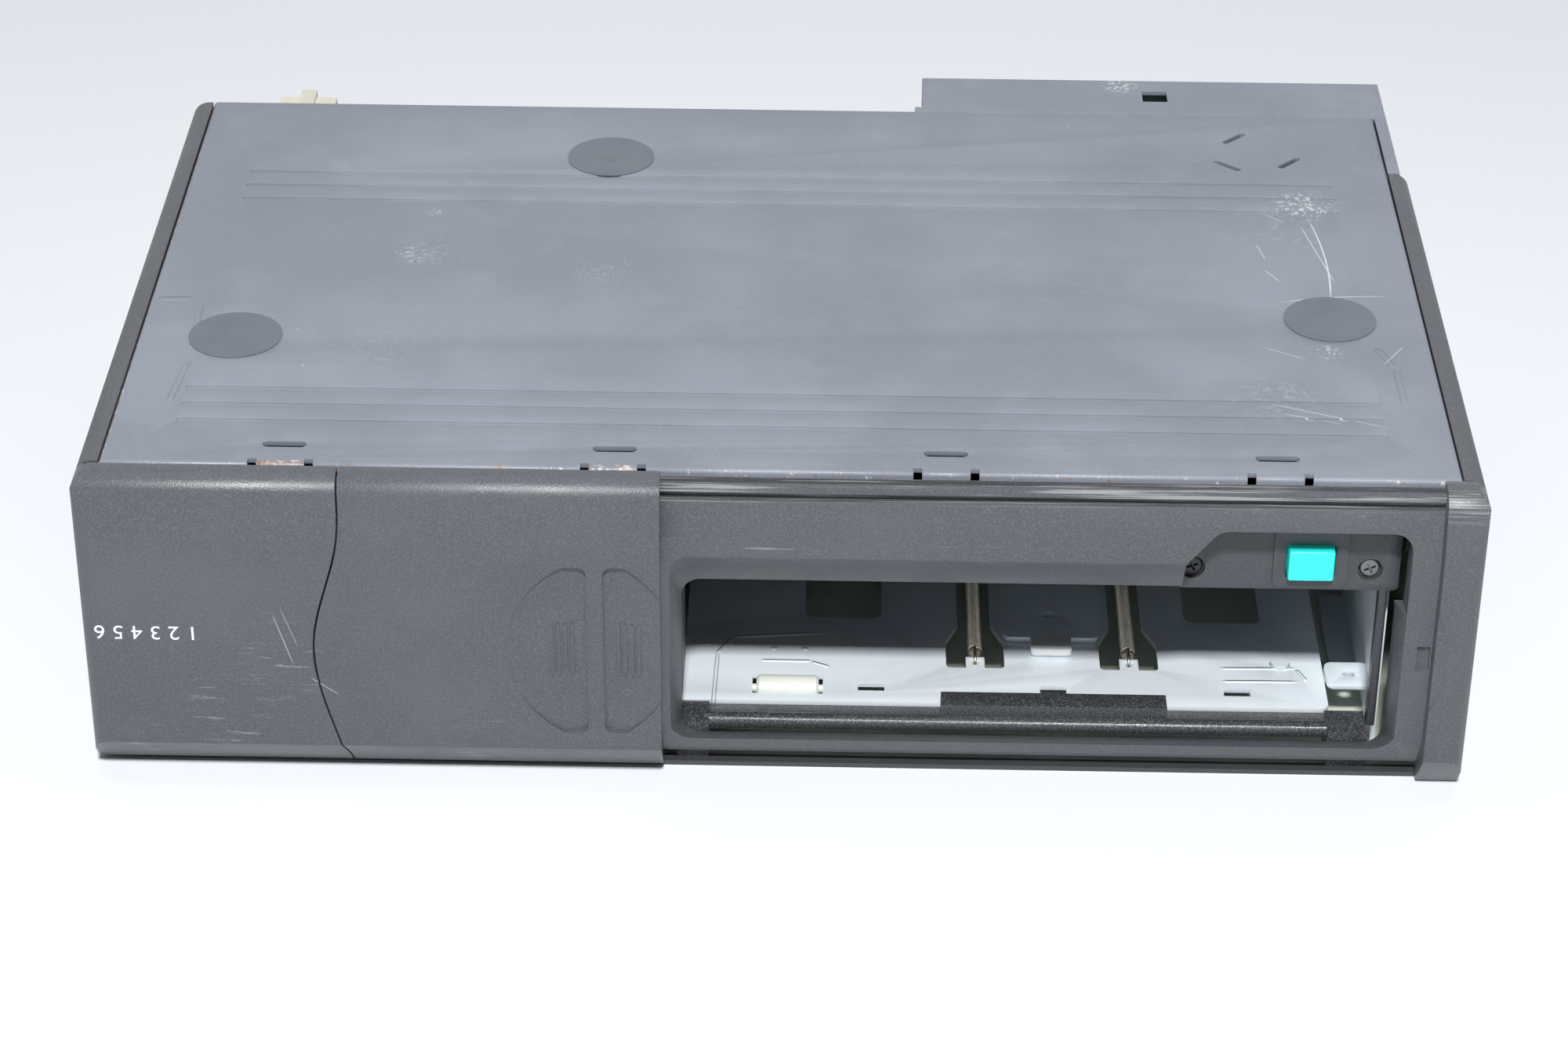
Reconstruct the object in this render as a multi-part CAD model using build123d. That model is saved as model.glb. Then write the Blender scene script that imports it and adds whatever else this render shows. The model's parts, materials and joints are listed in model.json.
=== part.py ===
"""Six-disc car CD changer, lying on its real top as it was photographed, with the sliding front door open.

Millimetres. +X is right as seen from the front, +Y is back, +Z is up. The origin is the centre of the
footprint, on the surface that the unit lies on. Depths in the front are measured back from the front plane.
"""

from build123d import *
import math
import os

# ---- overall sizes ----
WIDTH = 255.0
HEIGHT = 65.0
CASE_DEPTH = 149.4  # sheet-metal case, left half
BOX_DEPTH = 16.8  # rear box, behind the case
FRONT_DEPTH = 8.0  # plastic front, ahead of the case
SEAL_THICKNESS = 0.2
DEPTH = FRONT_DEPTH + CASE_DEPTH + BOX_DEPTH

# ---- clearances ----
SEAT_GAP = 0.2  # between fixed pieces that aren't pressed together
BODY_GAP = 0.3  # between pieces that move against each other
RUN_GAP = 0.4  # between flat pieces that slide past each other
FIT = 0.05  # radial running fit of a shaft
SCREW_ROOM = 0.1  # radial room round a screw's shank
PAST = 1.0  # how far a cutter stands past the sheet that it cuts
SPAN = 400.0  # longer than any cut needs to be

# ---- case ----
SHEET = 1.0
SIDE_COVER = 4.6  # space that each side cover fills
SIDE_WALL = 2.0
SIDE_ROUND = 3.6
SIDE_FOOT = 0.4  # how far the side covers stay off the surface
SIDE_FOOT_ROUND = 1.5
SIDE_RIB_SPACING = 25.0
RIGHT_COVER_DEPTH = 123.2
FLANGE_DROP = 7.0
GROOVE_WIDTH = 1.0
GROOVE_DEPTH = 0.35
GROOVE_MARGIN = 11.9  # from the case's side to a groove's end
FRONT_GROOVES = 21.4  # middle groove of the front group, from the case's front edge
REAR_GROOVES = 110.9
GROOVE_PITCH = 6.0
LOUVRE_MARGIN = 32.8  # from the case's side to the outer louvres
LOUVRE_BACK = 6.9
LOUVRE_SIZE = (8.0, 2.0)
NOTCH_SPREAD = 10.3
NOTCH_SIZE = (1.6, 1.8)
SNAP_LOW = 3.2  # the frame's snap hooks, below the plate's underside
SNAP_HIGH = 2.0
SNAP_REACH = 0.8
SEAL_RADIUS = 8.9
SEAL_HOLE_RADIUS = 5.0

FRONT_Y = -DEPTH / 2
CASE_FRONT = FRONT_Y + FRONT_DEPTH
CASE_BACK = CASE_FRONT + CASE_DEPTH
BOX_BACK = CASE_BACK + BOX_DEPTH
PLATE_TOP = HEIGHT - SEAL_THICKNESS
PLATE_UNDER = PLATE_TOP - SHEET
CASE_HALF = WIDTH / 2 - SIDE_COVER
TRAY_HALF = CASE_HALF - SHEET
OUTER_LOUVRE = CASE_HALF - LOUVRE_MARGIN
LOUVRE_X = (-OUTER_LOUVRE, -OUTER_LOUVRE / 3, OUTER_LOUVRE / 3, OUTER_LOUVRE)
# x, distance behind the case's front edge
SEAL_SPOTS = ((18.4 - CASE_HALF, 47.3), (CASE_HALF - 18.1, 59.8), (85.6 - CASE_HALF, 125.8))

# ---- rear box ----
BOX_WIDTH = 98.0
BOX_RIGHT_INSET = 1.9
BOX_RIGHT = WIDTH / 2 - BOX_RIGHT_INSET
BOX_LEFT = BOX_RIGHT - BOX_WIDTH
BOX_LIP = (1.7, 2.5)  # the small step beside the box, out to the left and back
SIGHT_HOLE_SIZE = (5.2, 5.0)
SIGHT_HOLE_PLACE = (BOX_RIGHT - 48.4, 158.6)
SLANTED_LOUVRES = ((CASE_HALF - 30.4, 138.7, 45.0), (CASE_HALF - 32.7, 125.8, -40.0), (CASE_HALF - 19.8, 127.5, 45.0))
SLANTED_SIZE = (6.5, 1.3)
BOARD_DROP = 7.0  # from the unit's upper side down to the board's underside
BOARD_Z = HEIGHT - BOARD_DROP
BOARD_THICKNESS = 1.6
BOARD_MARGIN = 4.0  # from the board to the walls round it
BOARD_HOLE_RADIUS = 1.4
BOARD_POST_RADIUS = 2.6
BOARD_POST_X = (BOX_LEFT + 14.4, CASE_HALF - 10.9)
BOARD_POST_BACK = (52.0, 132.0)
CHIP_SIZE = (18.0, 18.0, 2.5)
CHIP_PLACE = (BOX_LEFT + 41.4, 89.0)
PLUG_SIZE = (16.0, 8.0, 8.0)
PLUG_PLACE = (BOX_RIGHT - 21.6, 114.0)
SOCKET_RADIUS = 7.5
SOCKET_WALL = 1.2
SOCKET_REACH = 9.0
SOCKET_FLOOR = 2.0
SOCKET_FLANGE = 2.0
SOCKET_PLACE = (BOX_LEFT + 24.4, HEIGHT - 25.0)  # x, z
PIN_SIZE = 0.8
PIN_RECESS = 5.0  # how far the pins stay behind the socket's mouth
PIN_RINGS = ((4.2, 8), (1.8, 5))  # radius, count
CABLE_SOCKET_X = 18.9 - CASE_HALF
CABLE_SOCKET_Z = (HEIGHT - 12.0, HEIGHT - 3.0)
CABLE_SOCKET_WIDTH = 12.0
CABLE_SOCKET_WALL = 1.2
CABLE_SOCKET_REACH = 9.0
CABLE_SOCKET_DEPTH = 7.0  # in front of the case's rear wall
CABLE_LATCH = (3.2, 1.0, 10.5)  # width, start and end behind the wall
REAR_SCREWS = ((5.9 - TRAY_HALF, 12.0), (61.9 - TRAY_HALF, HEIGHT - 11.0), (BOX_LEFT - 27.6, 12.0))  # x, z
BOX_SCREW_Z = (20.0, HEIGHT - 15.0)
BOX_SCREW_Y = BOX_BACK - 8.0
BOX_SCREW_REACH = 2.0

# ---- moulded front ----
NOSE_TOP = PLATE_TOP
CREASE_Z = HEIGHT - 12.4
LEAN_DEPTH = 2.4  # how far the upper face leans back at the top
LOW_CREASE_Z = 8.8
BEVEL_DEPTH = 6.3
NOSE_BOTTOM = 1.5
CAP_BOTTOM = 0.4
NOSE_ROUND = 4.0
CORNER_ROUND = 3.5
SHELL = 2.0  # wall of the door's outer leaf and of the left panel
DOOR_FLANGE = 1.1
FLANGE_REACH = 7.3
HOOK_WIDTH = 0.8
HOOK_DROP = 1.0

FRAME_FACE = 3.6  # depth of the frame's recessed face
FRAME_CREASE_Z = HEIGHT - 15.5
FRAME_LOW_CREASE_Z = 11.6
FRAME_BOTTOM = 3.8
FRAME_BEVEL_DEPTH = 7.6
FRAME_TOP_DEPTH = 5.3
FRAME_TOP_LEAN = 0.1
FRAME_LEFT = 2.3 - WIDTH / 2
FRAME_TOP = NOSE_TOP - DOOR_FLANGE - BODY_GAP
CAP_WIDTH = 7.8
CAP_LEFT = WIDTH / 2 - CAP_WIDTH
CAP_HOLLOW = 4.0
GROOVE_Z = HEIGHT - 4.8
GROOVE_HEIGHT = 1.5
GROOVE_BACK = 6.6

# ---- magazine slot ----
SLOT_WIDTH = 134.4  # for a magazine of 120 mm discs
SLOT_RIGHT = CAP_LEFT - 5.2
SLOT_LEFT = SLOT_RIGHT - SLOT_WIDTH
SLOT_BOTTOM = 8.4
SLOT_TOP = HEIGHT - 16.0
SLOT_INNER_LEFT = SLOT_LEFT + 2.0
SLOT_INNER_RIGHT = SLOT_RIGHT - 1.5
SLOT_INNER_BOTTOM = 6.8
SLOT_INNER_TOP = SLOT_TOP - 8.3
SLOT_ROUND = 3.5
SLOT_COLLAR = 2.0
TUNNEL_DEPTH = 9.4
RAISED_TOP = SLOT_TOP + 6.5
RAISED_LEFT = SLOT_RIGHT - 34.8
RAISED_STEP = SLOT_RIGHT - 40.7
LATCH_NOTCH_X = (SLOT_RIGHT + 2.5, SLOT_RIGHT + 4.9)
LATCH_NOTCH_Z = (HEIGHT / 2 - 5.7, HEIGHT / 2 - 0.5)

# ---- sliding door ----
SEAM_X = 48.0 - WIDTH / 2
SEAM_BOW = 5.4
SEAM_MID_Z = HEIGHT * 6 / 13
SEAM_FOOT = 0.22  # where the seam straightens again, as a share of its middle's height
SEAM_GAP = 0.4
DOOR_RIGHT = SLOT_LEFT - 1.5
DOOR_TRAVEL = CAP_LEFT - RUN_GAP - DOOR_RIGHT
LEAF_MARGIN = 15.5  # from the unit's left side to the parked inner leaf
LEAF_COVER = 2.6  # how far the parked outer leaf reaches past the inner one
LEAF_LEFT = LEAF_MARGIN - WIDTH / 2
LEAF_WIDTH = DOOR_RIGHT - LEAF_COVER - LEAF_LEFT
LEAF_THICKNESS = 0.8
LEAF_BOTTOM = 9.6
GRIP_BOTTOM = 12.5
GRIP_TOP = HEIGHT - 16.5
GRIP_DEPTH = 1.3
GRIP_RUNOUT = 0.02  # depth left at the arc's tip
GRIP_SHOULDER = 0.3  # share of the grip's width that its short straight ends take
GRIP_ROUND = 1.6
GRIP_WIDTH = 14.8
GRIP_BRIDGE = 3.0  # flat bar between the two grips
GRIP_RIGHT = DOOR_RIGHT - 13.4
GRIP_LEFT = GRIP_RIGHT - GRIP_WIDTH
CRESCENT_REACH = 3.0  # how far the second grip runs on into the frame's cap
SECOND_GRIP_LEFT = GRIP_RIGHT + GRIP_BRIDGE
SECOND_GRIP_RIGHT = DOOR_RIGHT + CRESCENT_REACH
RIB_COUNT = 4
RIB_PITCH = 1.25
RIB_WIDTH = 0.5
RIB_HEIGHT = 11.0
RIB_RISE = 0.4
RIB_ROOT = 0.3
RIB_INSET = 4.6  # from a grip's straight edge to the middle of its ribs

# ---- eject bracket and button ----
BRACKET_DEPTH = 11.0
BRACKET_THICKNESS = 2.0
BRACKET_LEFT = SLOT_RIGHT - 41.4
BRACKET_RIGHT = SLOT_RIGHT - 0.9
BRACKET_BOTTOM = SLOT_TOP - 9.6
BRACKET_TOP = SLOT_TOP + 8.0
BRACKET_ROUND = 1.0
BRACKET_SCREW_Z = SLOT_TOP - 5.2
BRACKET_SCREW_X = (SLOT_RIGHT - 38.8, SLOT_RIGHT - 6.3)
BUTTON_LEFT = SLOT_RIGHT - 21.6
BUTTON_WIDTH = 8.4
BUTTON_BOTTOM = SLOT_TOP - 6.3
BUTTON_HEIGHT = 6.3
BUTTON_PROUD = 2.6
BUTTON_TRAVEL = 1.6
BUTTON_GAP = 0.35
BUTTON_ROUND = 0.5
BUTTON_RIM = 0.45
COLLAR_WIDTH = 1.0
COLLAR_THICKNESS = 1.3
SURROUND_MARGIN = 2.6
SURROUND_PROUD = 0.7
SURROUND_ROUND = 1.4
SURROUND_TOP = 0.6  # how far it reaches past the raised part's upper edge
STEM_RADIUS = 1.5
STEM_REACH = 11.0
STEM_ROOM = 0.2
STOP_BACK = 5.2  # the spring's stop, behind the roof's flange
STOP_HALF = 5.0
BUTTON_SPRING = (1.8, 2.4)  # inner and outer radius
LIP_OVERLAP = 0.9

# ---- small fasteners ----
SMALL_HEAD_RADIUS = 1.95
SMALL_HEAD_HEIGHT = 1.2
SMALL_HEAD_ROOM = 0.35
SMALL_SHANK_RADIUS = 1.1
SMALL_SHANK_LENGTH = 4.6
PAN_HEAD_RADIUS = 2.7
PAN_HEAD_HEIGHT = 1.5
PAN_SHANK_RADIUS = 1.4
PAN_SHANK_LENGTH = 5.0

# ---- side mounts ----
MOUNT_THREAD_RADIUS = 2.1
MOUNT_SHANK_RADIUS = 3.9
MOUNT_BOSS = 2.0
MOUNT_FLANGE_RADIUS = 6.0
MOUNT_FLANGE = 1.4
MOUNT_Y = (-40.0, 25.0)
MOUNT_Z = HEIGHT / 2
MOUNT_RECESS = 0.3

# ---- magazine bay ----
FLOOR_TOP = 9.0
FLOOR_UNDER = FLOOR_TOP - SHEET
FLOOR_LEFT = 5.9 - TRAY_HALF
FLOOR_RIGHT = SLOT_RIGHT - 10.5
FLOOR_FRONT = 9.0  # behind the case's front edge
FLOOR_ROUND = 1.5
FLOOR_LIP = 2.0
BAY_REAR = 143.0
BAY_ROOF_Z = SLOT_INNER_TOP + 0.5
BAY_LEFT = SLOT_INNER_LEFT - 1.3
SIDE_GUIDE_X = SLOT_RIGHT - 2.3
DISC_WINDOW = (24.0, 128.0)  # stretch behind the case's front edge
DISC_WINDOW_SILL = 3.0
DISC_WINDOW_HEAD = 2.0
GUIDE_START = 9.4
GUIDE_WINDOW = (60.0, 110.0)
GUIDE_WINDOW_Z = (16.0, BAY_ROOF_Z - 7.2)
GUIDE_FOOT = (15.0, 23.0)
GUIDE_FOOT_REACH = 8.0
GUIDE_FOOT_HOLE = (3.6, 1.1)  # inwards from the guide, radius
GUIDE_STRUT = (30.0, 60.0)
GUIDE_STRUT_REACH = 5.0
WINDOW_OFFSETS = (24.5, 98.5)  # left edges, from the slot's left side
WINDOW_FRONT = 38.0
WINDOW_SPOTS = tuple((SLOT_LEFT + offset, WINDOW_FRONT) for offset in WINDOW_OFFSETS)
WINDOW_SIZE = (15.0, 22.0)
WINDOW_ROUND = 2.0
TAB_SLOT_OFFSETS = (37.4, 72.0, 106.9)
TAB_SLOT_X = tuple(SLOT_LEFT + offset for offset in TAB_SLOT_OFFSETS)
TAB_SLOT_SIZE = (5.0, 2.6)
TAB_SLOT_BACK = 14.0
ROLLER_X = (SLOT_LEFT + 15.6, SLOT_LEFT + 27.4)
ROLLER_BACK = 14.5
ROLLER_RADIUS = 2.6
ROLLER_ROOM = 0.6
ROLLER_EDGE = 0.5
ROLLER_PIN_RADIUS = 0.8
EAR_SHEET = 0.8
EAR_REACH = 1.6  # from the roller's end to the outside of its ear
EAR_DROP = 3.0
PIN_SHY = 0.1  # how far the roller's pins stay inside the ears' outer faces
GUIDE_BAR_X = (SLOT_LEFT + 5.9, SLOT_RIGHT - 8.5)
GUIDE_BAR_BACK = 4.2
GUIDE_BAR_RADIUS = 1.6
GUIDE_BAR_Z = 7.6
GUIDE_STRIP = (1.0, 0.6)  # below and above the bar's middle
GUIDE_BLOCK_OFFSETS = (50.5, 92.9)
GUIDE_BLOCK_X = tuple(SLOT_LEFT + offset for offset in GUIDE_BLOCK_OFFSETS)
GUIDE_BLOCK_TOP = 11.7
GUIDE_END_RISE = 1.2
GUIDE_ENDS = ((-5.0, 1.0), (-3.0, 4.4))  # end brackets, from each end of the bar
DAMPER_INSET = (17.9, 8.0)  # from the tray's left wall and from the floor plate's right edge
DAMPER_X = (DAMPER_INSET[0] - TRAY_HALF, FLOOR_RIGHT - DAMPER_INSET[1])
DAMPER_BACK = (24.0, 131.0)
DAMPER_SPOTS = tuple((x, back) for x in DAMPER_X for back in DAMPER_BACK)
DAMPER_RADIUS = 6.0
DAMPER_WAIST = 1.5
DAMPER_HOLE_RADIUS = 2.0
DAMPER_NIB = 0.6

# ---- magazine ejector ----
SPRING_OFFSETS = (57.4, 86.9)
SPRING_X = tuple(SLOT_LEFT + offset for offset in SPRING_OFFSETS)
CHANNEL_WIDTH = 6.4
CHANNEL_FLARE = 2.4
CHANNEL_FRONT = 21.0
CHANNEL_FLARE_LENGTH = 9.0
CHANNEL_TAPER_LENGTH = 6.0
CHANNEL_REAR = 100.0
TONGUE_WIDTH = 3.6
HOOK_BACK = 24.2  # centre of the front hooks, behind the case's front edge
HOOK_RADIUS = 1.2
COIL_RADIUS = 1.25
WIRE_RADIUS = 0.3
WIRE_SIDES = 4
WIRE_TURN = 45.0  # how the wire's section is turned about its own centre
COIL_TURNS = 12
COIL_PITCH = 2.83
COIL_LEAD = 2.4
COIL_AXIS_Z = FLOOR_TOP - 0.2
STEPS_PER_TURN = 4
TONGUE_HOLE_RADIUS = 0.8
TONGUE_LIP = 0.55
SLIDER_LEFT = SPRING_X[0] + 5.5
SLIDER_RIGHT = SPRING_X[1] - 5.5
SLIDER_FRONT = 30.0
SLIDER_REAR = 108.0
SLIDER_SHEET = 1.0
SLIDER_FLANGE = 14.0
SLIDER_ROUND = 1.5
SLIDER_Z = FLOOR_TOP + BODY_GAP
SLIDER_HOLE = (38.0, 1.4)  # distance behind the case's front edge, radius
EAR_WIDTH = 2.4
EAR_DEPTH = 6.0
SHOE_X = (SLIDER_LEFT + 5.2, SLIDER_LEFT + 13.1)
SHOE_FRONT = 25.0
SHOE_HEIGHT = 1.6
SHOE_ROUND = 0.8
HOOK_Z = (FLOOR_UNDER + FLOOR_TOP) / 2
COIL_START = HOOK_BACK + COIL_LEAD
COIL_END = COIL_START + COIL_TURNS * COIL_PITCH
REAR_HOOK_BACK = COIL_END + COIL_LEAD
REAR_HOOK_Z = SLIDER_Z + SLIDER_SHEET / 2

# ---- magazine latch ----
LATCH_PIVOT = (SIDE_GUIDE_X - 5.7, 20.0)  # x, distance behind the case's front edge
LATCH_THICKNESS = 1.6
LATCH_WIDTH = 5.0
LATCH_PIN_RADIUS = 1.5
LATCH_PIN_RISE = 1.0
LATCH_BOSS = 1.5
LATCH_REACH = 26.0
LATCH_DROP = 4.0  # how far the hook hangs into the bay
LATCH_TIP_GAP = 1.4  # from the lever's tip to the side guide
LATCH_HOOK = (1.0, 1.5)  # left and right of the tip's middle
LATCH_HOOK_DEPTH = 4.0
LATCH_Z = BUTTON_BOTTOM + BUTTON_HEIGHT / 2 - 1.0
LATCH_WINDOW = (9.0, 1.0)  # ahead of and behind the lever's far end
LATCH_WINDOW_MARGIN = 2.0

# ---- player deck ----
DECK_Z = 17.0
DECK_THICKNESS = 1.2
DECK_TOP = DECK_Z + DECK_THICKNESS
DECK_LEFT = 9.9 - TRAY_HALF
DECK_RIGHT = BAY_LEFT - 6.8
DECK_WIDTH = DECK_RIGHT - DECK_LEFT
DECK_FRONT = 22.0
DECK_REAR = 132.0
DECK_ROUND = 3.0
DECK_LIFT = HEIGHT - 45.0
LUG_SIZE = (4.0, 8.0, 4.0)
SPINDLE_X = DECK_LEFT + DECK_WIDTH * 25 / 43
SPINDLE_Y = CASE_FRONT + 46.0
MOTOR_RADIUS = 10.0
MOTOR_HEIGHT = 6.0
MOTOR_EDGE = 0.8
SPINDLE_RADIUS = 1.0
SPINDLE_HEIGHT = 4.0
SPINDLE_BOSS = 1.2
TABLE_RADIUS = 13.0
TABLE_THICKNESS = 2.0
TABLE_LIFT = 0.6  # above the deck
TABLE_HUB_RADIUS = 7.2
TABLE_HUB_HEIGHT = 2.4
TABLE_HUB_SHOULDER = 0.4  # share of the hub's height that is upright
TABLE_HUB_TAPER = 1.6
ROD_RADIUS = 1.5
ROD_SPREAD = DECK_WIDTH * 9 / 43
ROD_HEIGHT = 3.6
ROD_Z = DECK_TOP + ROD_HEIGHT
ROD_FRONT = 59.0
ROD_REAR = 125.0
HOLDER = (5.0, 4.0, 6.0)
TIP_HOLDER_DEPTH = 3.0
SLED_SIZE = (26.0, 22.0, 5.4)
SLED_ROUND = 2.0
SLED_ROOM = 1.5
SLED_TRAVEL = 34.0
SLED_START = 74.0  # centre of the sled at the inner tracks
SLED_ARM = (2.6, 3.0, 5.0)  # past the screw, past the right rod, half its depth
SLED_ARM_SILL = 0.4
LENS_RADIUS = 2.2
LENS_RIM = 1.8
LENS_ROOM = 0.4
LENS_SEAT = 1.0
LENS_HOLDER = 1.4
DOME_RISE = 1.0
SCREW_OFFSET = ROD_SPREAD + 7.0
SCREW_X = SPINDLE_X - SCREW_OFFSET
SCREW_FRONT = 63.0
SCREW_TIP_SHARE = 0.6  # its tips' radius as a share of a rod's
SCREW_TIPS = (2.5, 2.0)  # front and rear
SLED_MOTOR_RADIUS = 3.0
SLED_MOTOR_LENGTH = 12.0
SLED_MOTOR_FOOT = (2.4, 3.5)  # half its width, distance behind the motor's front
CLAMP_HINGE_BACK = 129.0
CLAMP_Z = 31.0
CLAMP_SHEET = 1.6
CLAMP_WIDTH = 14.0
CLAMP_FLANGE = (12.0, 1.0, 3.0)  # start behind the spindle, thickness, height
CLAMP_PIN_RADIUS = 1.5
CLAMP_PIN_REACH = 3.2
CLAMP_BARREL = 1.2
CLAMP_EAR_OFFSET = 1.8
CLAMP_EAR_HALF = 1.0
CLAMP_EAR_MARGIN = 3.0
PUCK_RADIUS = 10.0
PUCK_HEIGHT = 3.0
PUCK_TOP = 1.0
PUCK_SHANK = 3.0
PUCK_RECESS = 1.6  # how far the shank's end stays inside the ring
PUCK_ROOM = 0.4
PUCK_HEAD = (2.0, 1.1, 2.2)  # past the shank, from and to above the arm's middle

# ---- lift ----
CAM_SHEET = 1.2
CAM_X = 3.3 - TRAY_HALF
CAM_BOTTOM = 10.6
CAM_TOP = HEIGHT - 15.0
CAM_ROUND = 2.0
CAM_ROOM = 0.1
CAM_REAR = 118.0
CAM_PIN_BACK = (44.0, 94.0)
CAM_PIN_RADIUS = 1.5
CAM_PIN_Z = DECK_TOP + 2.0
CAM_RIVET_BACK = (34.0, 88.0)
CAM_RIVET_Z = HEIGHT - 21.0
CAM_RIVET_RADIUS = 1.6
CAM_RIVET_TAIL = 1.2
CAM_RIVET_HEAD = 2.6
CAM_RIVET_HEAD_HEIGHT = 1.0
CAM_FRONT = CAM_RIVET_BACK[0] - DECK_LIFT - 4.0
LIFT_MOTOR_RADIUS = 7.0
LIFT_MOTOR_LENGTH = 20.0
LIFT_MOTOR_PLACE = (23.9 - TRAY_HALF, 138.0, HEIGHT - 13.0)  # front end's x, distance behind the case's front, z
LIFT_MOTOR_FOOT = 10.0
LIFT_MOTOR_BRACKET_INSET = 2.0
LIFT_WORM_RADIUS = 2.5
LIFT_WORM_LENGTH = 6.0


# ---- helpers ----
def case_y(back):
    """A Y place from a distance behind the case's front edge."""
    return CASE_FRONT + back


def block(x, y, z):
    """A box from (low, high) pairs."""
    lows = [min(pair) for pair in (x, y, z)]
    highs = [max(pair) for pair in (x, y, z)]
    centre = [(low + high) / 2 for low, high in zip(lows, highs)]
    size = [high - low for low, high in zip(lows, highs)]
    return Pos(*centre) * Box(*size)


def along_x(face, x0, x1):
    """A face drawn as (y, z), run from x0 to x1."""
    return extrude(Plane.YZ.offset(x0) * face, x1 - x0)


def along_y(face, y0, y1):
    """A face drawn as (x, z), run from y0 to y1."""
    return extrude(Plane.XZ.offset(-y1) * face, y1 - y0)


def along_z(face, z0, z1):
    """A face drawn as (x, y), run from z0 to z1."""
    return extrude(Plane.XY.offset(z0) * face, z1 - z0)


def outline(points):
    """A closed face through corner points."""
    return make_face(Polyline(*points, close=True))


def rounded(face, corners, radius):
    """Fillets the corners of a face nearest to the given points."""
    picked = [face.vertices().sort_by_distance((*corner, 0))[0] for corner in corners]
    return fillet(picked, radius)


def plate_face(x, y, radius):
    """A rectangle from (low, high) pairs with round corners."""
    width = x[1] - x[0]
    depth = y[1] - y[0]
    face = RectangleRounded(width, depth, radius) if radius else Rectangle(width, depth)
    return Pos((x[0] + x[1]) / 2, (y[0] + y[1]) / 2) * face


def rod(axis, centre, radius, start, end):
    """A cylinder along an axis letter, centred on the two other coordinates."""
    length = end - start
    middle = (start + end) / 2
    if axis == "x":
        return Pos(middle, *centre) * Rot(0, 90, 0) * Cylinder(radius, length)
    if axis == "y":
        return Pos(centre[0], middle, centre[1]) * Rot(90, 0, 0) * Cylinder(radius, length)
    return Pos(*centre, middle) * Cylinder(radius, length)


def screw(axis, centre, face, way, head, shank):
    """A pan-head screw seated on a face, its shank running the way given (+1 or -1)."""
    head_radius, head_height = head
    shank_radius, shank_length = shank
    ends = sorted((face, face - way * head_height))
    stem = sorted((face, face + way * shank_length))
    return rod(axis, centre, head_radius, *ends) + rod(axis, centre, shank_radius, *stem)


# ---- the moulded front's sections, drawn as (y, z) ----
def nose_face(bottom=NOSE_BOTTOM, reach=FRONT_DEPTH):
    """The outer section shared by the door, the left panel and the frame's cap."""
    back = FRONT_Y + reach
    corner = (FRONT_Y + LEAN_DEPTH, NOSE_TOP)
    face = outline(
        [
            (back, NOSE_TOP),
            corner,
            (FRONT_Y, CREASE_Z),
            (FRONT_Y, LOW_CREASE_Z),
            (FRONT_Y + BEVEL_DEPTH, bottom),
            (back, bottom),
        ]
    )
    return rounded(face, [corner], NOSE_ROUND)


def nose_core():
    """What lies inside the shell wall, open to the back."""
    deep = nose_face(reach=FRONT_DEPTH * 3)
    core = offset(deep, -SHELL, kind=Kind.INTERSECTION)
    top = NOSE_TOP - DOOR_FLANGE
    strip = plate_face((FRONT_Y + SHELL + LEAN_DEPTH, FRONT_Y + FRONT_DEPTH * 2), (top - SHELL, top), 0)
    return core + strip


def shell_section():
    """The wall of the door and the left panel, with the hook that runs in the frame's top groove."""
    back = FRONT_Y + FLANGE_REACH
    wall = nose_face(reach=FLANGE_REACH) - nose_core()
    top = NOSE_TOP - DOOR_FLANGE
    hook = plate_face((back - HOOK_WIDTH, back), (top - HOOK_DROP, top), 0)
    return wall + hook


def frame_section():
    """The recessed frame that the door leaves slide over, with a groove for each leaf."""
    back = FRONT_Y + FRONT_DEPTH
    top_corner = (FRONT_Y + FRAME_TOP_DEPTH, FRAME_TOP)
    face = outline(
        [
            (back, FRAME_TOP),
            top_corner,
            (FRONT_Y + FRAME_TOP_DEPTH - FRAME_TOP_LEAN, GROOVE_Z),
            (FRONT_Y + FRAME_FACE, FRAME_CREASE_Z),
            (FRONT_Y + FRAME_FACE, FRAME_LOW_CREASE_Z),
            (FRONT_Y + FRAME_BEVEL_DEPTH, FRAME_BOTTOM),
            (back, FRAME_BOTTOM),
        ]
    )
    leaf_groove = plate_face((FRONT_Y, FRONT_Y + GROOVE_BACK), (GROOVE_Z, GROOVE_Z + GROOVE_HEIGHT), 0)
    hook_front = FRONT_Y + FLANGE_REACH - HOOK_WIDTH - RUN_GAP
    hook_back = FRONT_Y + FLANGE_REACH + RUN_GAP
    groove_z = (FRAME_TOP - HOOK_DROP - RUN_GAP / 4, FRAME_TOP + PAST)
    door_groove = plate_face((hook_front, hook_back), groove_z, 0)
    return face - leaf_groove - door_groove


def leaf_section():
    """The inner leaf: it follows the frame's face and hooks into the groove above it."""
    rear = FRONT_Y + FRAME_FACE - RUN_GAP
    front = rear - LEAF_THICKNESS
    lean = (FRAME_TOP_DEPTH - FRAME_TOP_LEAN - FRAME_FACE) / (GROOVE_Z - FRAME_CREASE_Z)
    hook_bottom = GROOVE_Z + BODY_GAP
    hook_top = GROOVE_Z + GROOVE_HEIGHT - BODY_GAP
    hook_back = FRONT_Y + GROOVE_BACK - RUN_GAP
    shift = lean * (hook_bottom - FRAME_CREASE_Z)
    return outline(
        [
            (rear, LEAF_BOTTOM),
            (rear, FRAME_CREASE_Z),
            (rear + shift, hook_bottom),
            (hook_back, hook_bottom),
            (hook_back, hook_top),
            (front + lean * (hook_top - FRAME_CREASE_Z), hook_top),
            (front, FRAME_CREASE_Z),
            (front, LEAF_BOTTOM),
        ]
    )


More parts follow.
